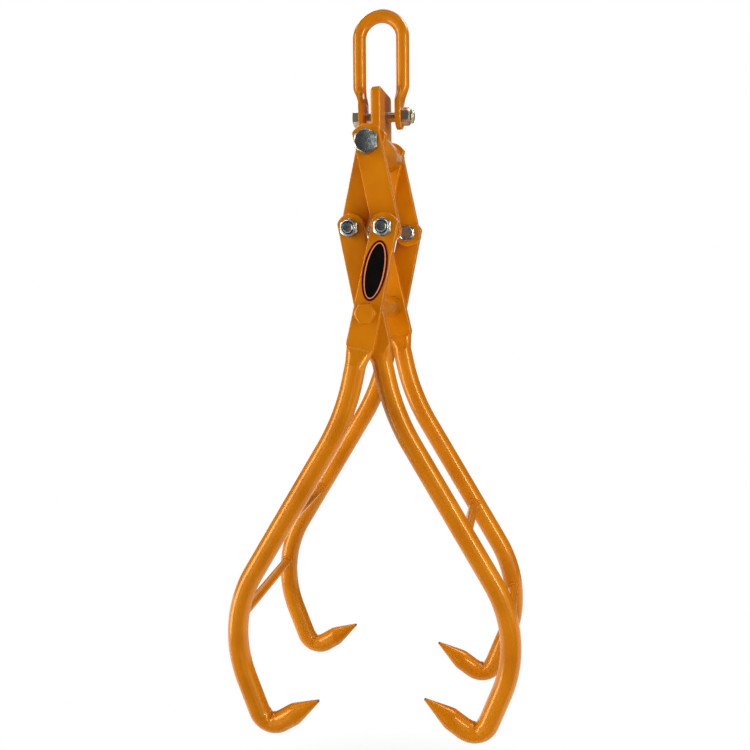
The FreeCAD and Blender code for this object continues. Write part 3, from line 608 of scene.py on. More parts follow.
def flat_bar(bm, place, outline, holes, thickness, rounding, hole_round, closed=True):
    """A flat with rounded edges and chamfered holes; an open one is left open at its crease.

    A hole is its middle and its radius. Gives the two columns of corners at the crease of an open flat."""
    profile = edge_profile(thickness, rounding)
    columns = []
    for (across, upward), normal in zip(outline, corner_normals(outline, closed)):
        points = [place(across - inset * normal.x, height, upward - inset * normal.y)
                  for inset, height in profile]
        columns.append(add_row(bm, points))
    for here, there in neighbours(columns, closed):
        skin(bm, here, there, closed=False)
    near = [[column[0] for column in columns]]
    far = [[column[-1] for column in columns]]
    for across, upward, radius in holes:
        rows = []
        for height, grow in ((0.0, hole_round), (hole_round, 0.0),
                             (thickness - hole_round, 0.0), (thickness, hole_round)):
            rim = circle_points((across, upward), radius + grow, HOLE_STEPS)
            rows.append(add_row(bm, [place(u, height, w) for u, w in rim]))
        skin_rows(bm, rows)
        near.append(rows[0])
        far.append(rows[-1])
    for loops in (near, far):
        edges = []
        for loop in loops:
            edges += [bm.edges.get(pair) or bm.edges.new(pair) for pair in neighbours(loop)]
        bmesh.ops.triangle_fill(bm, use_beauty=True, use_dissolve=False, edges=edges)
    return columns[0], columns[-1]


# A pressing: the flat's half width and thickness, the bar's radius and depth, its start and its signed run
Pressing = namedtuple("Pressing", "half_width thickness radius bar_depth crease run")


def pressed_taper(bm, place, columns, flats, press, rings, eased=False):
    """The pressing from a flat to a round bar: the flat faces run on as narrowing ramps that cut the bar.

    Gives the corners of the full round and their turns."""
    right, left = columns
    rows = [right + left[::-1]]
    start = [place.back(corner.co) for corner in rows[0]]
    half = press.thickness / 2
    for along in parts(rings, 1):
        part = along * along * (3 - 2 * along) if eased else along
        height = mix(half, press.radius, part)
        middle = mix(half, press.bar_depth, part)
        across = mix(press.half_width, press.radius, part)
        flat_share = flats.press_flat * (1 - part)
        deep = height / math.sqrt(1 - flat_share ** 2)
        cut = math.acos(flat_share)
        turns = [cut * step - cut for step in parts(ROUND_STEPS)]
        turns += [cut * step for step in parts(ROUND_STEPS)]
        turns += [math.pi - turn for turn in reversed(turns)]
        blend = min(1.0, along * abs(press.run) / flats.press_blend)
        points = []
        for turn, (u, v, w) in zip(turns, start):
            points.append(place(mix(u, across * math.cos(turn), blend),
                                mix(v, middle + deep * math.sin(turn), blend),
                                press.crease + press.run * along))
        rows.append(add_row(bm, points))
    skin_rows(bm, rows)
    return rows[-1], turns


# Claw arms

Station = namedtuple("Station", "across upward heading radius kind part")


def bar_stations(bar):
    """Stations along a claw arm's bar, in the arm's plane, from the pressing to the middle of the tip."""
    stations = []
    radius = bar.diameter / 2
    spot = [0.0, -(bar.crease_distance + bar.press_length)]
    heading = 0.0

    def note(kind, part, size=radius):
        stations.append(Station(*spot, heading, size, kind, part))

    def move(distance):
        spot[0] += distance * math.sin(heading)
        spot[1] -= distance * math.cos(heading)

    def run(distance, count):
        for part in parts(count, 1):
            move(distance / count)
            note("round", part)

    def bend(turn_radius, turn, count, kind="round"):
        nonlocal heading
        reach = math.copysign(turn_radius, turn)
        centre = (spot[0] + reach * math.cos(heading), spot[1] + reach * math.sin(heading))
        first = heading
        for part in parts(count, 1):
            heading = first + turn * part
            spot[0] = centre[0] - reach * math.cos(heading)
            spot[1] = centre[1] - reach * math.sin(heading)
            note(kind, part)

    run(bar.upper_run, count=4)
    bend(bar.upper_bend_radius, bar.upper_bend_angle, count=14)
    run(bar.arm_run, count=10)
    bend(bar.knee_radius, -bar.knee_angle, count=28)
    run(bar.lower_run, count=5)
    bend(bar.claw_bend_radius, -bar.claw_bend_angle, count=56, kind="claw")
    run(bar.claw_run, count=3)
    soft = math.sqrt(bar.point_ease)
    for part in parts(POINT_STEPS, 1):
        drawn = (math.hypot(part, soft) - soft) / (math.hypot(1, soft) - soft)
        move(bar.point_length / POINT_STEPS)
        note("point", part, mix(radius, bar.tip_radius, drawn))
    reached = 0.0
    for part in TIP_PARTS:
        move(bar.tip_bulge * bar.tip_radius * (part - reached))
        note("tip", part, bar.tip_radius * math.sqrt(1 - part ** 2))
        reached = part
    return stations


def fold(bar, part, turn, seed):
    """How far the sharp bend's surface stands off the round bar: a notch inside, a few folds beside it."""
    inside = max(0.0, -math.cos(turn))
    near_end = bar.claw_bend_angle * min(part, 1.0 - part)
    hollow = bar.claw_bend_radius - bar.diameter / 2
    notch = bar.notch_share * hollow * (1 / math.cos(near_end) - 1) * inside ** NOTCH_FADE
    ripple = math.sin(FOLD_RADIANS * part + FOLD_WAVER * math.sin(2 * turn + seed) + seed)
    lump = noise.noise(Vector((LUMPS_ALONG * part, LUMPS_ROUND * turn, seed)))
    along = math.sin(math.pi * part) ** 2
    return bar.wrinkle * along * inside ** FOLD_FADE * (FOLD_SHARE * ripple + lump) - notch


def bareness(bar, station):
    """How bare the steel is at a station of the bar."""
    if station.kind == "tip":
        return 1.0
    painted = 1.0 - bar.bare_length / bar.point_length
    if station.kind != "point" or station.part <= painted:
        return 0.0
    return mix(bar.bare_start, bar.bare_end, (station.part - painted) / (1.0 - painted))


def make_claw_arm(settings, name, side, face, towards, body, seed):
    """One bar, pressed flat at its upper end, bent, and forged to a point."""
    flats, bar = settings.flats, settings.bar
    place = leaning(side, face, towards, LOWER_Z)
    bm = bmesh.new()
    bare = bm.verts.layers.float.new("bare")
    radius = bar.diameter / 2
    press = Pressing(flats.crease_width / 2, FLAT, radius, radius + bar.setback,
                     crease=-bar.crease_distance, run=-bar.press_length)
    outline = [(press.half_width, press.crease)]
    outline += end_arc(PIVOT_SPACING, flats.arm_width / 2, flats.joint_end_swell)
    outline.append((-press.half_width, press.crease))
    holes = [(0.0, 0.0, hole_radius(settings, M12)), (0.0, PIVOT_SPACING, hole_radius(settings, M10))]
    columns = flat_bar(bm, place, outline, holes, FLAT, flats.edge_round, flats.hole_round, closed=False)
    row, turns = pressed_taper(bm, place, columns, flats, press, ARM_PRESS_STEPS)
    rows = [row]
    *stations, tip = bar_stations(bar)
    for station in stations:
        points = []
        for turn in turns:
            size = station.radius
            if station.kind == "claw":
                size += fold(bar, station.part, turn, seed)
            out = size * math.cos(turn)
            points.append(place(station.across + out * math.cos(station.heading),
                                press.bar_depth + size * math.sin(turn),
                                station.upward + out * math.sin(station.heading)))
        row = add_row(bm, points)
        for corner in row:
            corner[bare] = bareness(bar, station)
        rows.append(row)
    skin_rows(bm, rows)
    close_row(bm, row, place(tip.across, press.bar_depth, tip.upward))
    show_painted(bm, settings, name + "_forging", body, name)


class TONGS_OT_arms(bpy.types.Operator):
    """Makes the four claw arms, each one bar pressed flat, bent and forged to a point"""
    bl_idname = "tongs.claw_arms"
    bl_label = "Claw arms"

    def execute(self, context):
        settings = context.scene.lifting_tongs
        make_claw_arm(settings, "claw_arm_front_left", -1, -OUTER_IN, -1, "left_arm", seed=1.0)
        make_claw_arm(settings, "claw_arm_rear_left", -1, OUTER_IN, 1, "left_arm", seed=2.0)
        make_claw_arm(settings, "claw_arm_front_right", 1, -MIDDLE_OUT, 1, "right_arm", seed=3.0)
        make_claw_arm(settings, "claw_arm_rear_right", 1, MIDDLE_OUT, -1, "right_arm", seed=4.0)
        return {"FINISHED"}


# Links

def make_link(settings, name, side, face, towards, body):
    """A flat with two round ends."""
    flats = settings.flats
    half = flats.link_width / 2
    outline = end_arc(0.0, half, flats.top_end_swell)
    outline += end_arc(-PIVOT_SPACING, half, flats.joint_end_swell, turned=math.pi)
    holes = [(0.0, 0.0, hole_radius(settings, M14)), (0.0, -PIVOT_SPACING, hole_radius(settings, M10))]
    bm = bmesh.new()
    place = leaning(side, face, towards, TOP_Z)
    flat_bar(bm, place, outline, holes, FLAT, flats.edge_round, flats.hole_round)
    show_painted(bm, settings, name + "_bar", body, name)


class TONGS_OT_links(bpy.types.Operator):
    """Makes the four flat links between the top pivot and the joint bolts"""
    bl_idname = "tongs.links"
    bl_label = "Links"

    def execute(self, context):
        settings = context.scene.lifting_tongs
        make_link(settings, "link_front_right", 1, -MIDDLE_OUT, 1, "right_links")
        make_link(settings, "link_rear_right", 1, MIDDLE_OUT, -1, "right_links")
        make_link(settings, "link_front_left", -1, -INNER_OUT, 1, "left_links")
        make_link(settings, "link_rear_left", -1, INNER_OUT, -1, "left_links")
        return {"FINISHED"}


# Shackle

def half_shackle(bm, settings, side):
    """One eye, its neck and its half of the bow, up to the middle of the crown."""
    head, flats = settings.head, settings.flats
    inside = head.jaw / 2
    place = beside_bolt(side, inside)
    outline = [(-head.eye_radius, head.neck)]
    outline += arc_points((0.0, 0.0), head.eye_radius, math.pi, 2 * math.pi, EYE_STEPS)
    outline.append((head.eye_radius, head.neck))
    holes = [(0.0, 0.0, hole_radius(settings, M10))]
    left, right = flat_bar(bm, place, outline, holes, head.eye_thickness, flats.edge_round, flats.hole_round,
                           closed=False)
    radius = head.bow_diameter / 2
    press = Pressing(head.eye_radius, head.eye_thickness, radius, head.bow_half_width - inside,
                     crease=head.neck, run=head.leg_end - head.neck)
    row, turns = pressed_taper(bm, place, (right, left), flats, press, EYE_PRESS_STEPS, eased=True)
    crown = radius - SHACKLE_BOLT_Z - head.bow_half_width
    path = [(0.0, mix(head.leg_end, crown, part)) for part in parts(LEG_STEPS, 1)]
    path += [(math.pi / 2 * part, crown) for part in parts(CROWN_STEPS, 1)]
    rows = [row]
    for lift, height in path:
        points = []
        for turn in turns:
            reach = head.bow_half_width + radius * math.sin(turn)
            points.append(place(radius * math.cos(turn), reach * math.cos(lift) - inside,
                                height + reach * math.sin(lift)))
        rows.append(add_row(bm, points))
    skin_rows(bm, rows)


class TONGS_OT_shackle(bpy.types.Operator):
    """Makes the lifting shackle: a bow of round bar with two pressed eyes"""
    bl_idname = "tongs.shackle"
    bl_label = "Shackle"

    def execute(self, context):
        settings = context.scene.lifting_tongs
        bm = bmesh.new()
        for side in (1, -1):
            half_shackle(bm, settings, side)
        show_painted(bm, settings, "lifting_shackle_forging", "shackle", "lifting_shackle")
        return {"FINISHED"}


# Turned pieces

def hexagon_reach(turn, flats):
    """Distance from the middle to the side of a hexagon with a corner at turn 0."""
    part = math.pi / 3
    return flats / 2 / math.cos((turn % part) - part / 2)


def turned_rows(bm, place, levels):
    """Rings round the depth axis; a level is a depth, a radius and, for a hexagon, its width across flats."""
    rows = []
    for depth, radius, *flats in levels:
        points = []
        for turn in full_turn(RING_STEPS):
            reach = min(radius, hexagon_reach(turn, *flats)) if flats else radius
            points.append(place(reach * math.cos(turn), depth, reach * math.sin(turn)))
        rows.append(add_row(bm, points))
    return rows


def tube(settings, name, node, radius, bore, body):
    """A tube along Y with eased edges, as long as the CAD node that it stands for."""
    low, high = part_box(node)
    ease = settings.head.tube_edge
    soft = 0.3 * ease
    rim = [(ease, bore), (0.0, bore + ease), (0.0, radius - ease), (soft, radius - soft), (ease, radius)]
    levels = [(low[1] + step, reach) for step, reach in rim]
    levels += [(high[1] - step, reach) for step, reach in reversed(rim)]
    bm = bmesh.new()
    place = Place((0.0, 0.0, (low[2] + high[2]) / 2), X_AXIS, Y_AXIS, Z_AXIS)
    skin_rows(bm, turned_rows(bm, place, levels), ring=True)
    show_painted(bm, settings, name, body, node)


# Node trees for what repeats

def node_tree(name, sockets, build):
    """The geometry tree of that name; for a new one, build gives its result from the named inputs."""
    found = bpy.data.node_groups.get(name)
    if found:
        return found
    tree = bpy.data.node_groups.new(name, "GeometryNodeTree")
    tree.interface.new_socket("Geometry", in_out="OUTPUT", socket_type="NodeSocketGeometry")
    for title, kind in sockets.items():
        tree.interface.new_socket(title, in_out="INPUT", socket_type="NodeSocket" + kind)
    given = add_node(tree, "NodeGroupInput")
    add_node(tree, "NodeGroupOutput", {"Geometry": build(tree, given)})
    return tree


def made_real(tree, instances, finish):
    """Instances as one mesh of one material."""
    real = add_node(tree, "GeometryNodeRealizeInstances", {"Geometry": instances})["Geometry"]
    return add_node(tree, "GeometryNodeSetMaterial", {"Geometry": real, "Material": finish})["Geometry"]


def run_tree(tree, carrier, values, name):
    """Runs a node tree on a mesh and gives the result as a plain mesh."""
    holder = add_object(name + "_carrier", carrier)
    modifier = holder.modifiers.new("nodes", "NODES")
    modifier.node_group = tree
    for item in tree.interface.items_tree:
        if item.in_out == "INPUT" and item.name in values:
            modifier[item.identifier] = values[item.name]
    graph = bpy.context.evaluated_depsgraph_get()
    mesh = bpy.data.meshes.new_from_object(holder.evaluated_get(graph))
    mesh.name = name
    bpy.data.objects.remove(holder)
    if not mesh.polygons:
        raise RuntimeError("the node tree made no faces for " + name)
    return mesh


# Welds, hanger and spacer

WELD_INPUTS = {"Path": "Geometry", "Bead Radius": "Float", "Pitch": "Float", "Seed": "Int",
               "Material": "Material"}


def weld_bead(tree, given):
    """Overlapping uneven scales of weld metal along a path."""
    curve = add_node(tree, "GeometryNodeMeshToCurve", {"Mesh": given["Path"]})["Curve"]
    spaced = add_node(tree, "GeometryNodeResampleCurve", {"Curve": curve, "Length": given["Pitch"]},
                      mode="LENGTH")
    scale = add_node(tree, "GeometryNodeMeshIcoSphere", {"Radius": given["Bead Radius"], "Subdivisions": 2})
    smallest = (0.85, 0.8, 0.75)
    largest = (1.12, 1.1, 1.0)
    uneven = add_node(tree, "FunctionNodeRandomValue", {0: smallest, 1: largest, "Seed": given["Seed"]},
                      data_type="FLOAT_VECTOR")
    tangent = add_node(tree, "GeometryNodeInputTangent")["Tangent"]
    turn = add_node(tree, "FunctionNodeAlignRotationToVector", {"Vector": tangent}, axis="Z")
    scales = add_node(tree, "GeometryNodeInstanceOnPoints", {
        "Points": spaced["Curve"],
        "Instance": scale["Mesh"],
        "Rotation": turn["Rotation"],
        "Scale": uneven[0],
    })
    bead = made_real(tree, scales["Instances"], given["Material"])
    return add_node(tree, "GeometryNodeSetShadeSmooth", {"Geometry": bead})["Geometry"]


def weld(settings, name, loops, body):
    """One piece of weld beads along closed loops of points."""
    head = settings.head
    paint = paint_material(settings.colours)
    path = bpy.data.meshes.new(name + "_path")
    points = []
    edges = []
    for loop in loops:
        first = len(points)
        points += loop
        edges += neighbours(list(range(first, first + len(loop))))
    path.from_pydata(points, edges, [])
    tree = node_tree("weld_bead", WELD_INPUTS, weld_bead)
    values = {"Bead Radius": head.weld_radius, "Pitch": head.weld_pitch, "Seed": head.weld_seed,
              "Material": paint}
    show_mesh(run_tree(tree, path, values, name), name, [paint], body, [])


def tab_weld_loop(head):
    """The foot of the tab, where it meets the sleeve."""
    half = head.tab_thickness / 2
    reach = head.tab_depth / 2
    radius = head.sleeve_diameter / 2
    corners = [(half, -reach), (half, reach), (-half, reach), (-half, -reach)]
    loop = []
    for (start, end), count in zip(neighbours(corners), 2 * TAB_WELD_STEPS):
        for part in parts(count)[:-1]:
            x = mix(start[0], end[0], part)
            y = mix(start[1], end[1], part)
            loop.append((x, y, TOP_Z + math.sqrt(radius ** 2 - x ** 2)))
    return loop


class TONGS_OT_hanger(bpy.types.Operator):
    """Makes the hanger: an upright tab welded to the sleeve of the top pivot bolt, and the lower spacer"""
    bl_idname = "tongs.hanger"
    bl_label = "Hanger"

    def execute(self, context):
        settings = context.scene.lifting_tongs
        head = settings.head
        half = head.tab_depth / 2
        corner = head.tab_corner
        shoulder = head.tab_above - corner
        foot = TOP_Z - SHACKLE_BOLT_Z + head.tab_foot * head.sleeve_diameter / 2
        outline = [(-half, foot), (half, foot)]
        outline += arc_points((half - corner, shoulder), corner, 0.0, math.pi / 2, TAB_CORNER_STEPS)
        outline += arc_points((corner - half, shoulder), corner, math.pi / 2, math.pi, TAB_CORNER_STEPS)
        holes = [(0.0, 0.0, hole_radius(settings, M10))]
        bm = bmesh.new()
        place = beside_bolt(1, -head.tab_thickness / 2)
        flat_bar(bm, place, outline, holes, head.tab_thickness, head.tab_edge, settings.flats.hole_round)
        show_painted(bm, settings, "hanger_tab_plate", "hanger", "hanger_tab")
        tube(settings, "hanger_sleeve_tube", "hanger_sleeve", head.sleeve_diameter / 2,
             hole_radius(settings, M14), "hanger")
        tube(settings, "lower_spacer_tube", "lower_pivot_spacer", head.spacer_diameter / 2,
             hole_radius(settings, M12), "left_arm")
        weld(settings, "hanger_weld", [tab_weld_loop(head)], "hanger")
        return {"FINISHED"}


# Crossbars: the CAD bars keep their shape and get the paint and a weld at each end

def crossbar_weld_loop(bar, node, arm_y, heading):
    """Where a crossbar's end meets the round bar of an arm."""
    low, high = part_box(node)
    middle_x = (low[0] + high[0]) / 2
    middle_z = (low[2] + high[2]) / 2
    way = -math.copysign(1.0, arm_y)
    loop = []
    for x, z in circle_points((0.0, 0.0), bar.crossbar_diameter / 2, WELD_RING_STEPS):
        off = x * math.cos(heading) + z * math.sin(heading)
        reach = math.sqrt((bar.diameter / 2) ** 2 - off ** 2)
        loop.append((middle_x + x, arm_y + way * reach, middle_z + z))
    return loop


class TONGS_OT_crossbars(bpy.types.Operator):
    """Paints the crossbars and welds them to the arms"""
    bl_idname = "tongs.crossbars"
    bl_label = "Crossbars"

    def execute(self, context):
        settings = context.scene.lifting_tongs
        bar = settings.bar
        paint = paint_material(settings.colours)
        depth = bar.diameter / 2 + bar.setback
        lean = bar.upper_bend_angle + REST_ANGLE
        for hand, side, arm_y in (("left", -1, OUTER_IN + depth), ("right", 1, MIDDLE_OUT - depth)):
            loops = []
            for height, turned in (("upper", 0.0), ("lower", bar.crossbar_turn)):
                node = "crossbar_%s_%s" % (hand, height)
                for slot in frame["nodes"][node].material_slots:
                    slot.material = paint
                for y in (-arm_y, arm_y):
                    loops.append(crossbar_weld_loop(bar, node, y, side * (lean - turned)))
            weld(settings, "crossbar_welds_" + hand, loops, hand + "_arm")
        return {"FINISHED"}


# Bolts and lock nuts

def hexagon_levels(sizes, flats, start, end, both_ends):
    """Levels of a hexagon, chamfered at its start and, where asked, at its end."""
    face = sizes.face_share * flats
    past_corners = 1.001
    widest = flats / math.sqrt(3) * past_corners
    drop = (widest - face) * math.tan(sizes.chamfer_angle)
    chamfer = [(drop * part, mix(face, widest, part)) for part in parts(CHAMFER_STEPS)]
    levels = [(start + rise, limit, flats) for rise, limit in chamfer]
    if both_ends:
        return levels + [(end - rise, limit, flats) for rise, limit in reversed(chamfer)]
    return levels + [(end, widest, flats)]


def bolt_levels(sizes, size, reach):
    """A bolt along +Z: hexagon head below its bearing face, shank and the ridges of its thread above it."""
    radius = sizes.diameter[size] / 2
    face = sizes.face_share * sizes.flats[size]
    washer = 0.99 * face
    dish_floor = 0.86 * face
    dish_rim = 0.93 * face
    pitch = sizes.thread_pitch
    crest = 0.2 * pitch
    root = 0.55 * pitch
    depth = 0.45 * pitch
    nose = radius / 6
    top = -sizes.head[size]
    under = -sizes.washer_height
    levels = [(top + sizes.head_dish, dish_floor), (top, dish_rim)]
    levels += hexagon_levels(sizes, sizes.flats[size], top, under, both_ends=False)
    levels += [(under, washer), (0.0, washer), (0.0, radius)]
    for ridge in range(THREAD_RIDGES, 0, -1):
        z = reach - nose - ridge * pitch
        levels += [(z, radius), (z + crest, radius), (z + root, radius - depth)]
    return levels + [(reach - nose, radius), (reach, radius - nose)]


def nut_levels(sizes, size):
    """A lock nut along +Z: a hexagon on its bearing face, and a round collar with a rolled lip."""
    thread = sizes.diameter[size] / 2 + sizes.thread_gap
    pocket = sizes.diameter[size] / 2 + sizes.insert_wall
    wall = pocket + sizes.collar_wall
    foot = sizes.collar_foot
    hexagon = sizes.hexagon[size]
    top = hexagon + sizes.collar[size]
    lip = 0.55 * sizes.collar[size]
    lip_thickness = 0.3 * MM
    lip_edge = thread + 0.45 * MM
    mouth = thread + 0.7 * MM
    countersink = 0.6 * MM
    levels = [(countersink, thread), (0.0, thread + foot)]
    levels += hexagon_levels(sizes, sizes.flats[size], 0.0, hexagon, both_ends=True)
    levels += [(hexagon, wall + foot), (hexagon + foot, wall)]
    for part in parts(LIP_STEPS):
        turn = math.pi / 2 * part
        levels.append((top - lip + lip * math.sin(turn), mix(mouth, wall, math.cos(turn))))
    levels += [(top - lip_thickness, lip_edge), (top - foot, pocket)]
    return levels + [(hexagon, pocket), (hexagon, thread)]


def ring_levels(sizes, size):
    """The nylon ring of a lock nut."""
    thread = sizes.diameter[size] / 2 + sizes.thread_gap
    pocket = sizes.diameter[size] / 2 + sizes.insert_wall
    ease = sizes.insert_edge
    low = sizes.hexagon[size]
    top = low + 0.85 * sizes.collar[size]
    return [(low, thread), (low, pocket), (top - ease, pocket), (top, pocket - ease), (top, thread + ease),
            (top - ease, thread)]


def turned_mesh(name, levels, caps):
    """A shape turned round +Z; a bolt has caps, the heights of the middles of its two ends.

    Paint does not cover a bolt above its bearing face."""
    bm = bmesh.new()
    rows = turned_rows(bm, Place((0.0, 0.0, 0.0), X_AXIS, Z_AXIS, Y_AXIS), levels)
    skin_rows(bm, rows, ring=not caps)
    for row, height in zip((rows[0], rows[-1]), caps):
        close_row(bm, row, (0.0, 0.0, height))
    if caps:
        paint_end = 0.5 * MM
        bare = bm.verts.layers.float.new("bare")
        for corner in bm.verts:
            corner[bare] = 1.0 if corner.co.z > paint_end else 0.0
    settle(bm, FASTENER_SHARP)
    return mesh_of(bm, name)


FASTENER_INPUTS = {"Places": "Geometry", "Fastener": "Object", "Material": "Material"}


def fastener_at_points(tree, given):
    """A fastener at each point, turned by the point's own attribute."""
    shape = add_node(tree, "GeometryNodeObjectInfo", {"Object": given["Fastener"], "As Instance": True})
    turn = add_node(tree, "GeometryNodeInputNamedAttribute", {"Name": "turn"}, data_type="FLOAT_VECTOR")
    rotation = add_node(tree, "FunctionNodeEulerToRotation", {"Euler": turn["Attribute"]})
    put = add_node(tree, "GeometryNodeInstanceOnPoints", {
        "Points": given["Places"],
        "Instance": shape["Geometry"],
        "Rotation": rotation["Rotation"],
    })
    return made_real(tree, put["Instances"], given["Material"])


def set_fasteners(name, levels, places, finish, body, nodes, caps=()):
    """One piece with a fastener at each place; a place is a point and a turn."""
    points = bpy.data.meshes.new(name + "_places")
    points.from_pydata([place for place, turn in places], [], [])
    turns = points.attributes.new("turn", "FLOAT_VECTOR", "POINT")
    for number, (place, turn) in enumerate(places):
        turns.data[number].vector = turn.to_euler("XYZ")
    shape = add_object(name + "_shape", turned_mesh(name + "_shape", levels, caps))
    tree = node_tree("set_fasteners", FASTENER_INPUTS, fastener_at_points)
    mesh = run_tree(tree, points, {"Fastener": shape, "Material": finish}, name)
    bpy.data.objects.remove(shape)
    show_mesh(mesh, name, [finish], body, nodes)


def along_y(way, spin):
    """Turns a fastener's +Z to the rear (way 1) or to the front (way -1), and its hexagon about its axis."""
    return Matrix.Rotation(-way * math.pi / 2, 3, "X") @ Matrix.Rotation(spin, 3, "Z")


def fastener_set(settings, name, size, grip, places, body, finishes, patterns):
    """Bolts, nuts and nylon rings of one family on one body; a place is a bearing point, nut point and turn.

    patterns are the names of the CAD nodes, with a gap for the kind of piece."""
    sizes = settings.fasteners
    reach = grip + sizes.hexagon[size] + sizes.collar[size] + sizes.end_stand
    end_dish = 0.2 * MM
    caps = (sizes.head_dish - sizes.head[size], reach - end_dish)
    heads = [(seat, turn) for seat, nut, turn in places]
    nuts = [(nut, turn) for seat, nut, turn in places]
    bolt_finish, nut_finish, bolt_slot = finishes
    bolt_nodes, nut_nodes, ring_nodes = ([pattern % kind for pattern in patterns]
                                         for kind in ("bolt", "nut", "nut_insert"))
    set_fasteners(name + "_bolts", bolt_levels(sizes, size, reach), heads, bolt_finish, body,
                  bolt_nodes, caps)
    set_fasteners(name + "_nuts", nut_levels(sizes, size), nuts, nut_finish, body, nut_nodes)
    set_fasteners(name + "_rings", ring_levels(sizes, size), nuts, nylon_material(settings.colours), body,
                  ring_nodes)


class TONGS_OT_fasteners(bpy.types.Operator):
    """Makes the bolts, the lock nuts and their nylon rings"""
    bl_idname = "tongs.fasteners"
    bl_label = "Bolts and lock nuts"

    def execute(self, context):
        settings = context.scene.lifting_tongs
        colours = settings.colours
        bright = plated_material("bright_zinc", colours.zinc, colours.zinc_dull, grain=0.08)
        yellow = plated_material("yellow_zinc", colours.yellow_zinc, colours.zinc_dull, grain=0.08,
                                 gloss=(0.28, 0.45))
        dark = plated_material("weathered_zinc", colours.zinc, colours.dark_zinc, grain=1.0,
                               gloss=(0.2, 0.45), patches=330.0, marks=380.0)
        paint = paint_material(colours)
        flat_up = math.radians(30.0)

        outside = settings.head.jaw / 2 + settings.head.eye_thickness
        towards_x = Matrix.Rotation(math.pi / 2, 3, "Y")
        place = ((-outside, 0.0, SHACKLE_BOLT_Z), (outside, 0.0, SHACKLE_BOLT_Z), towards_x)
        fastener_set(settings, "shackle_fastener", M10, 2 * outside, [place], "shackle",
                     (yellow, yellow, "zinc"), ["shackle_%s"])

        for name, size, z, outside, spin, body, finishes in (
                ("top_pivot", M14, TOP_Z, MIDDLE_OUT + END_GAP, flat_up, "hanger", (dark, bright, "zinc")),
                ("lower_pivot", M12, LOWER_Z, OUTER_OUT, 0.0, "left_arm", (paint, bright, "paint"))):
            place = ((0.0, -outside, z), (0.0, outside, z), along_y(1, spin))
            fastener_set(settings, name, size, 2 * outside, [place], body, finishes, [name + "_%s"])

        grip = 2 * FLAT + (MIDDLE_IN - INNER_OUT) + END_GAP
        for side, x, inside, body in (("right", JOINT_X, MIDDLE_IN, "left_arm"),
                                      ("left", -JOINT_X, INNER_IN, "right_arm")):
            places = []
            for way in (-1, 1):
                seat = way * (inside - END_GAP)
                places.append(((x, seat, JOINT_Z), (x, seat + way * grip, JOINT_Z), along_y(way, flat_up)))
            fastener_set(settings, "joint_" + side, M10, grip, places, body, (bright, bright, "zinc"),
                         ["joint_%s_front_" + side, "joint_%s_rear_" + side])
        return {"FINISHED"}


# Label

class TONGS_OT_label(bpy.types.Operator):
    """Makes the blank oval label: a dark rim, a thin ring and a black field"""
    bl_idname = "tongs.label"
    bl_label = "Label"

    def execute(self, context):
        settings = context.scene.lifting_tongs
        label, colours = settings.label, settings.colours
        place = leaning(-1, -OUTER_OUT, -1, LOWER_Z)
        middle = PIVOT_SPACING / 2 - label.drop
        levels = [(0.0, 0.0), (0.0, label.thickness - label.edge), (label.edge, label.thickness),
                  (label.rim, label.thickness), (label.rim + label.ring, label.thickness)]
        bm = bmesh.new()
        rows = []
        for inset, height in levels:
            points = [place((label.short_axis / 2 - inset) * math.cos(turn), height,
                            middle + (label.long_axis / 2 - inset) * math.sin(turn))
                      for turn in full_turn(OVAL_STEPS)]
            rows.append(add_row(bm, points))
        rim, ring, field = range(3)
        for first, second in neighbours(rows, closed=False):
            for face in skin(bm, first, second):
                face.material_index = ring if second is rows[-1] else rim
        bm.faces.new(rows[-1]).material_index = field
        bm.faces.new(rows[0])
        settle(bm)
        films = [film_material("label_rim_film", colours.label_rim),
                 film_material("label_ring_film", colours.label_ring),
                 film_material("label_field_film", colours.label_field)]
        show_mesh(mesh_of(bm, "label_film"), "label_film", films, "left_arm", ["label_plate"])
        return {"FINISHED"}


# Stage

WHITE = (1.0, 1.0, 1.0)
SENSOR_MM = 36.0
HOOK = (0.0, 0.0, 0.0)
MIDDLE = (0.0, 0.0, -0.35)
Lamp = namedtuple("Lamp", "name place target width height power warm")
LAMPS = (
    Lamp("top_lamp", (0.0, -0.45, 0.8), MIDDLE, 0.9, 0.06, "top_power", False),
    Lamp("left_lamp", (-1.2, -0.5, -0.3), MIDDLE, 0.5, 1.8, "left_power", True),
    Lamp("right_lamp", (1.2, -0.4, -0.2), MIDDLE, 0.8, 1.2, "right_power", True),
    Lamp("strip_lamp", (1.15, -0.65, 0.0), HOOK, 0.18, 1.0, "strip_power", True),
    Lamp("front_left_lamp", (-0.8, -1.2, -0.3), MIDDLE, 0.6, 1.8, "front_power", False),
    Lamp("front_right_lamp", (0.85, -1.2, -0.3), MIDDLE, 0.6, 1.8, "front_power", False),
    Lamp("rear_left_lamp", (-0.9, 1.0, 1.3), MIDDLE, 1.0, 0.8, "rear_power", False),
    Lamp("rear_right_lamp", (1.0, 1.0, 1.3), MIDDLE, 1.0, 0.8, "rear_power", False),
)

# Dark cloths, in metres: side view (y, z) of the one round the camera, plan (x, y) of those at the sides
CAMERA_CLOTH = ((-0.3, -1.2), (-2.2, -1.2), (-2.2, 0.6), (-1.9, 1.3), (-1.2, 1.9), (-0.3, 2.1), (0.5, 2.1))
CAMERA_CLOTH_SPAN = (-2.6, 2.6)
SIDE_CLOTHS = (((-0.95, 1.6), (-3.0, 1.6), (-3.0, -2.4)), ((0.12, 1.6), (3.0, 1.6), (3.0, -2.4)))
SIDE_CLOTH_SPAN = (-2.0, 1.9)


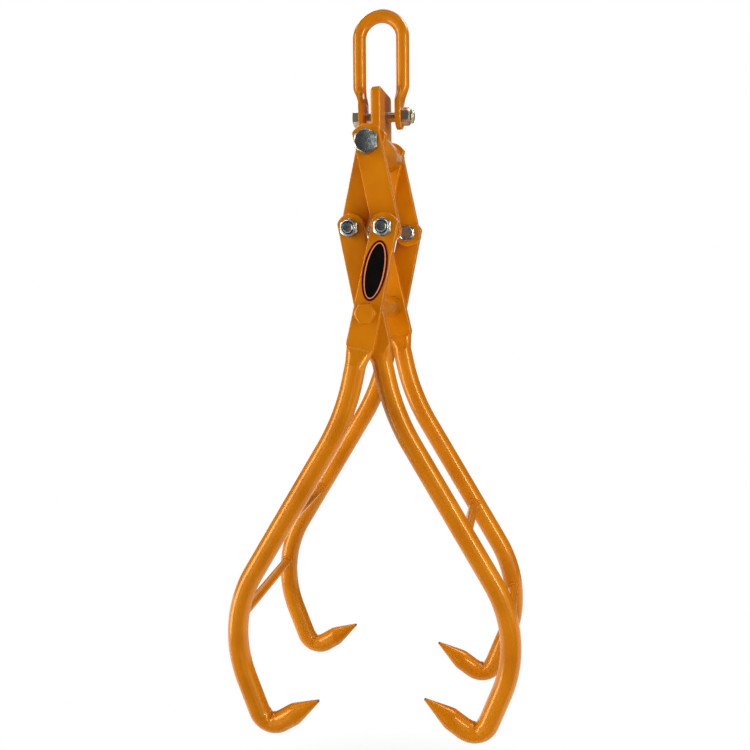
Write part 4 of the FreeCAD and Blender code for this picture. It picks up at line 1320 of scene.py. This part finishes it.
def add_lamp(stage, lamp):
    """A rectangular lamp that faces its target."""
    data = bpy.data.lights.new(lamp.name, "AREA")
    data.shape = "RECTANGLE"
    data.size = lamp.width
    data.size_y = lamp.height
    data.energy = getattr(stage, lamp.power)
    data.color = stage.lamp_tint if lamp.warm else WHITE
    holder = add_object(lamp.name, data)
    holder.location = lamp.place
    ahead = Vector(lamp.target) - Vector(lamp.place)
    holder.rotation_euler = ahead.to_track_quat("-Z", "Y").to_euler()


def seen_directly(tree):
    """1 for rays that look at a backdrop: camera, mirror and glass rays."""
    path = add_node(tree, "ShaderNodeLightPath")
    mirrored = combine(tree, "MAXIMUM", path["Is Camera Ray"], path["Is Glossy Ray"])
    return combine(tree, "MAXIMUM", mirrored, path["Is Transmission Ray"])


def make_world(stage):
    """White where it is seen, and a dim light from all round."""
    world = bpy.data.worlds.new("studio")
    bpy.context.scene.world = world
    world.use_nodes = True
    tree = world.node_tree
    strength = blend_numbers(tree, seen_directly(tree), stage.ambient, 1.0)
    feed(tree, tree.nodes["Background"], {"Color": WHITE, "Strength": strength})


def make_floor(stage, colours):
    """A pale disc that keeps the shadow near its middle and goes over to the white backdrop further out."""
    def dress(tree):
        place = add_node(tree, "ShaderNodeTexCoord")["Object"]
        flat = add_node(tree, "ShaderNodeVectorMath", {0: place, 1: (1.0, 1.0, 0.0)}, operation="MULTIPLY")
        distance = add_node(tree, "ShaderNodeVectorMath", {0: flat["Vector"]}, operation="LENGTH")
        far = spread(tree, distance["Value"], 0.35, 0.75)
        white = combine(tree, "MULTIPLY", far, seen_directly(tree))
        own = tree.nodes["Principled BSDF"].outputs[0]
        glow = add_node(tree, "ShaderNodeEmission")[0]
        mixed = add_node(tree, "ShaderNodeMixShader", {0: white, 1: own, 2: glow})[0]
        feed(tree, tree.nodes["Material Output"], {"Surface": mixed})
        return {"Base Color": colours.floor, "Roughness": 0.85, "Specular IOR Level": 0.1}

    bm = bmesh.new()
    bmesh.ops.create_circle(bm, cap_ends=True, segments=96, radius=stage.floor_radius)
    bmesh.ops.translate(bm, verts=bm.verts, vec=(0.0, 0.0, -stage.floor_drop))
    floor = add_object("floor", mesh_of(bm, "floor"))
    floor.data.materials.append(material("pale_floor", dress))


def make_flags(stage):
    """Dark cloths that only the gloss of the object shows: round the camera and at both sides."""
    bm = bmesh.new()
    sheets = [[[(x, y, z) for y, z in CAMERA_CLOTH] for x in CAMERA_CLOTH_SPAN]]
    sheets += [[[(x, y, z) for x, y in plan] for z in SIDE_CLOTH_SPAN] for plan in SIDE_CLOTHS]
    for first, second in sheets:
        skin(bm, add_row(bm, first), add_row(bm, second), closed=False)
    flags = add_object("dark_flags", mesh_of(bm, "dark_flags"))
    grey = (stage.flag_grey, stage.flag_grey, stage.flag_grey)
    cloth = {"Base Color": grey, "Roughness": 1.0, "Specular IOR Level": 0.0}
    flags.data.materials.append(material("dark_cloth", lambda tree: cloth))
    flags.visible_camera = False
    flags.visible_diffuse = False
    flags.visible_shadow = False
    flags.visible_transmission = False


def make_camera(stage):
    """The camera that was fitted to the photograph."""
    data = bpy.data.cameras.new("camera")
    data.sensor_width = SENSOR_MM
    data.lens = stage.lens
    data.shift_x = stage.shift_x
    data.shift_y = stage.shift_y
    camera = add_object("camera", data)
    turn = Matrix.Rotation(stage.camera_yaw, 4, "Z")
    turn @= Matrix.Rotation(math.pi / 2 - stage.camera_pitch, 4, "X")
    turn @= Matrix.Rotation(-stage.camera_roll, 4, "Z")
    camera.matrix_world = Matrix.Translation(stage.camera_place) @ turn
    bpy.context.scene.camera = camera


class TONGS_OT_stage(bpy.types.Operator):
    """Sets the pale floor, the dark cloths, the soft lamps and the camera"""
    bl_idname = "tongs.stage"
    bl_label = "Stage"

    def execute(self, context):
        settings = context.scene.lifting_tongs
        stage = settings.stage
        context.scene.view_settings.view_transform = "Standard"
        make_world(stage)
        make_floor(stage, settings.colours)
        make_flags(stage)
        for lamp in LAMPS:
            add_lamp(stage, lamp)
        make_camera(stage)
        return {"FINISHED"}


class TONGS_PT_panel(bpy.types.Panel):
    """Lists the steps that dress the tongs"""
    bl_idname = "TONGS_PT_panel"
    bl_label = "Lifting tongs"
    bl_space_type = "VIEW_3D"
    bl_region_type = "UI"
    bl_category = "Lifting tongs"

    def draw(self, context):
        for operator in OPERATORS:
            self.layout.operator(operator.bl_idname)


OPERATORS = (
    TONGS_OT_arms,
    TONGS_OT_links,
    TONGS_OT_shackle,
    TONGS_OT_hanger,
    TONGS_OT_crossbars,
    TONGS_OT_fasteners,
    TONGS_OT_label,
    TONGS_OT_stage,
)
CLASSES = (
    FlatSizes,
    BarSizes,
    HeadSizes,
    FastenerSizes,
    LabelSizes,
    FinishColours,
    StageSizes,
    TongsSettings,
) + OPERATORS + (TONGS_PT_panel,)


def register():
    for kind in CLASSES:
        bpy.utils.register_class(kind)
    bpy.types.Scene.lifting_tongs = group("Lifting tongs", TongsSettings)


def unregister():
    del bpy.types.Scene.lifting_tongs
    for kind in reversed(CLASSES):
        bpy.utils.unregister_class(kind)


def main():
    register()
    bpy.ops.tongs.claw_arms()
    bpy.ops.tongs.links()
    bpy.ops.tongs.shackle()
    bpy.ops.tongs.hanger()
    bpy.ops.tongs.crossbars()
    bpy.ops.tongs.fasteners()
    bpy.ops.tongs.label()
    bpy.ops.tongs.stage()


if __name__ == "__main__":
    main()
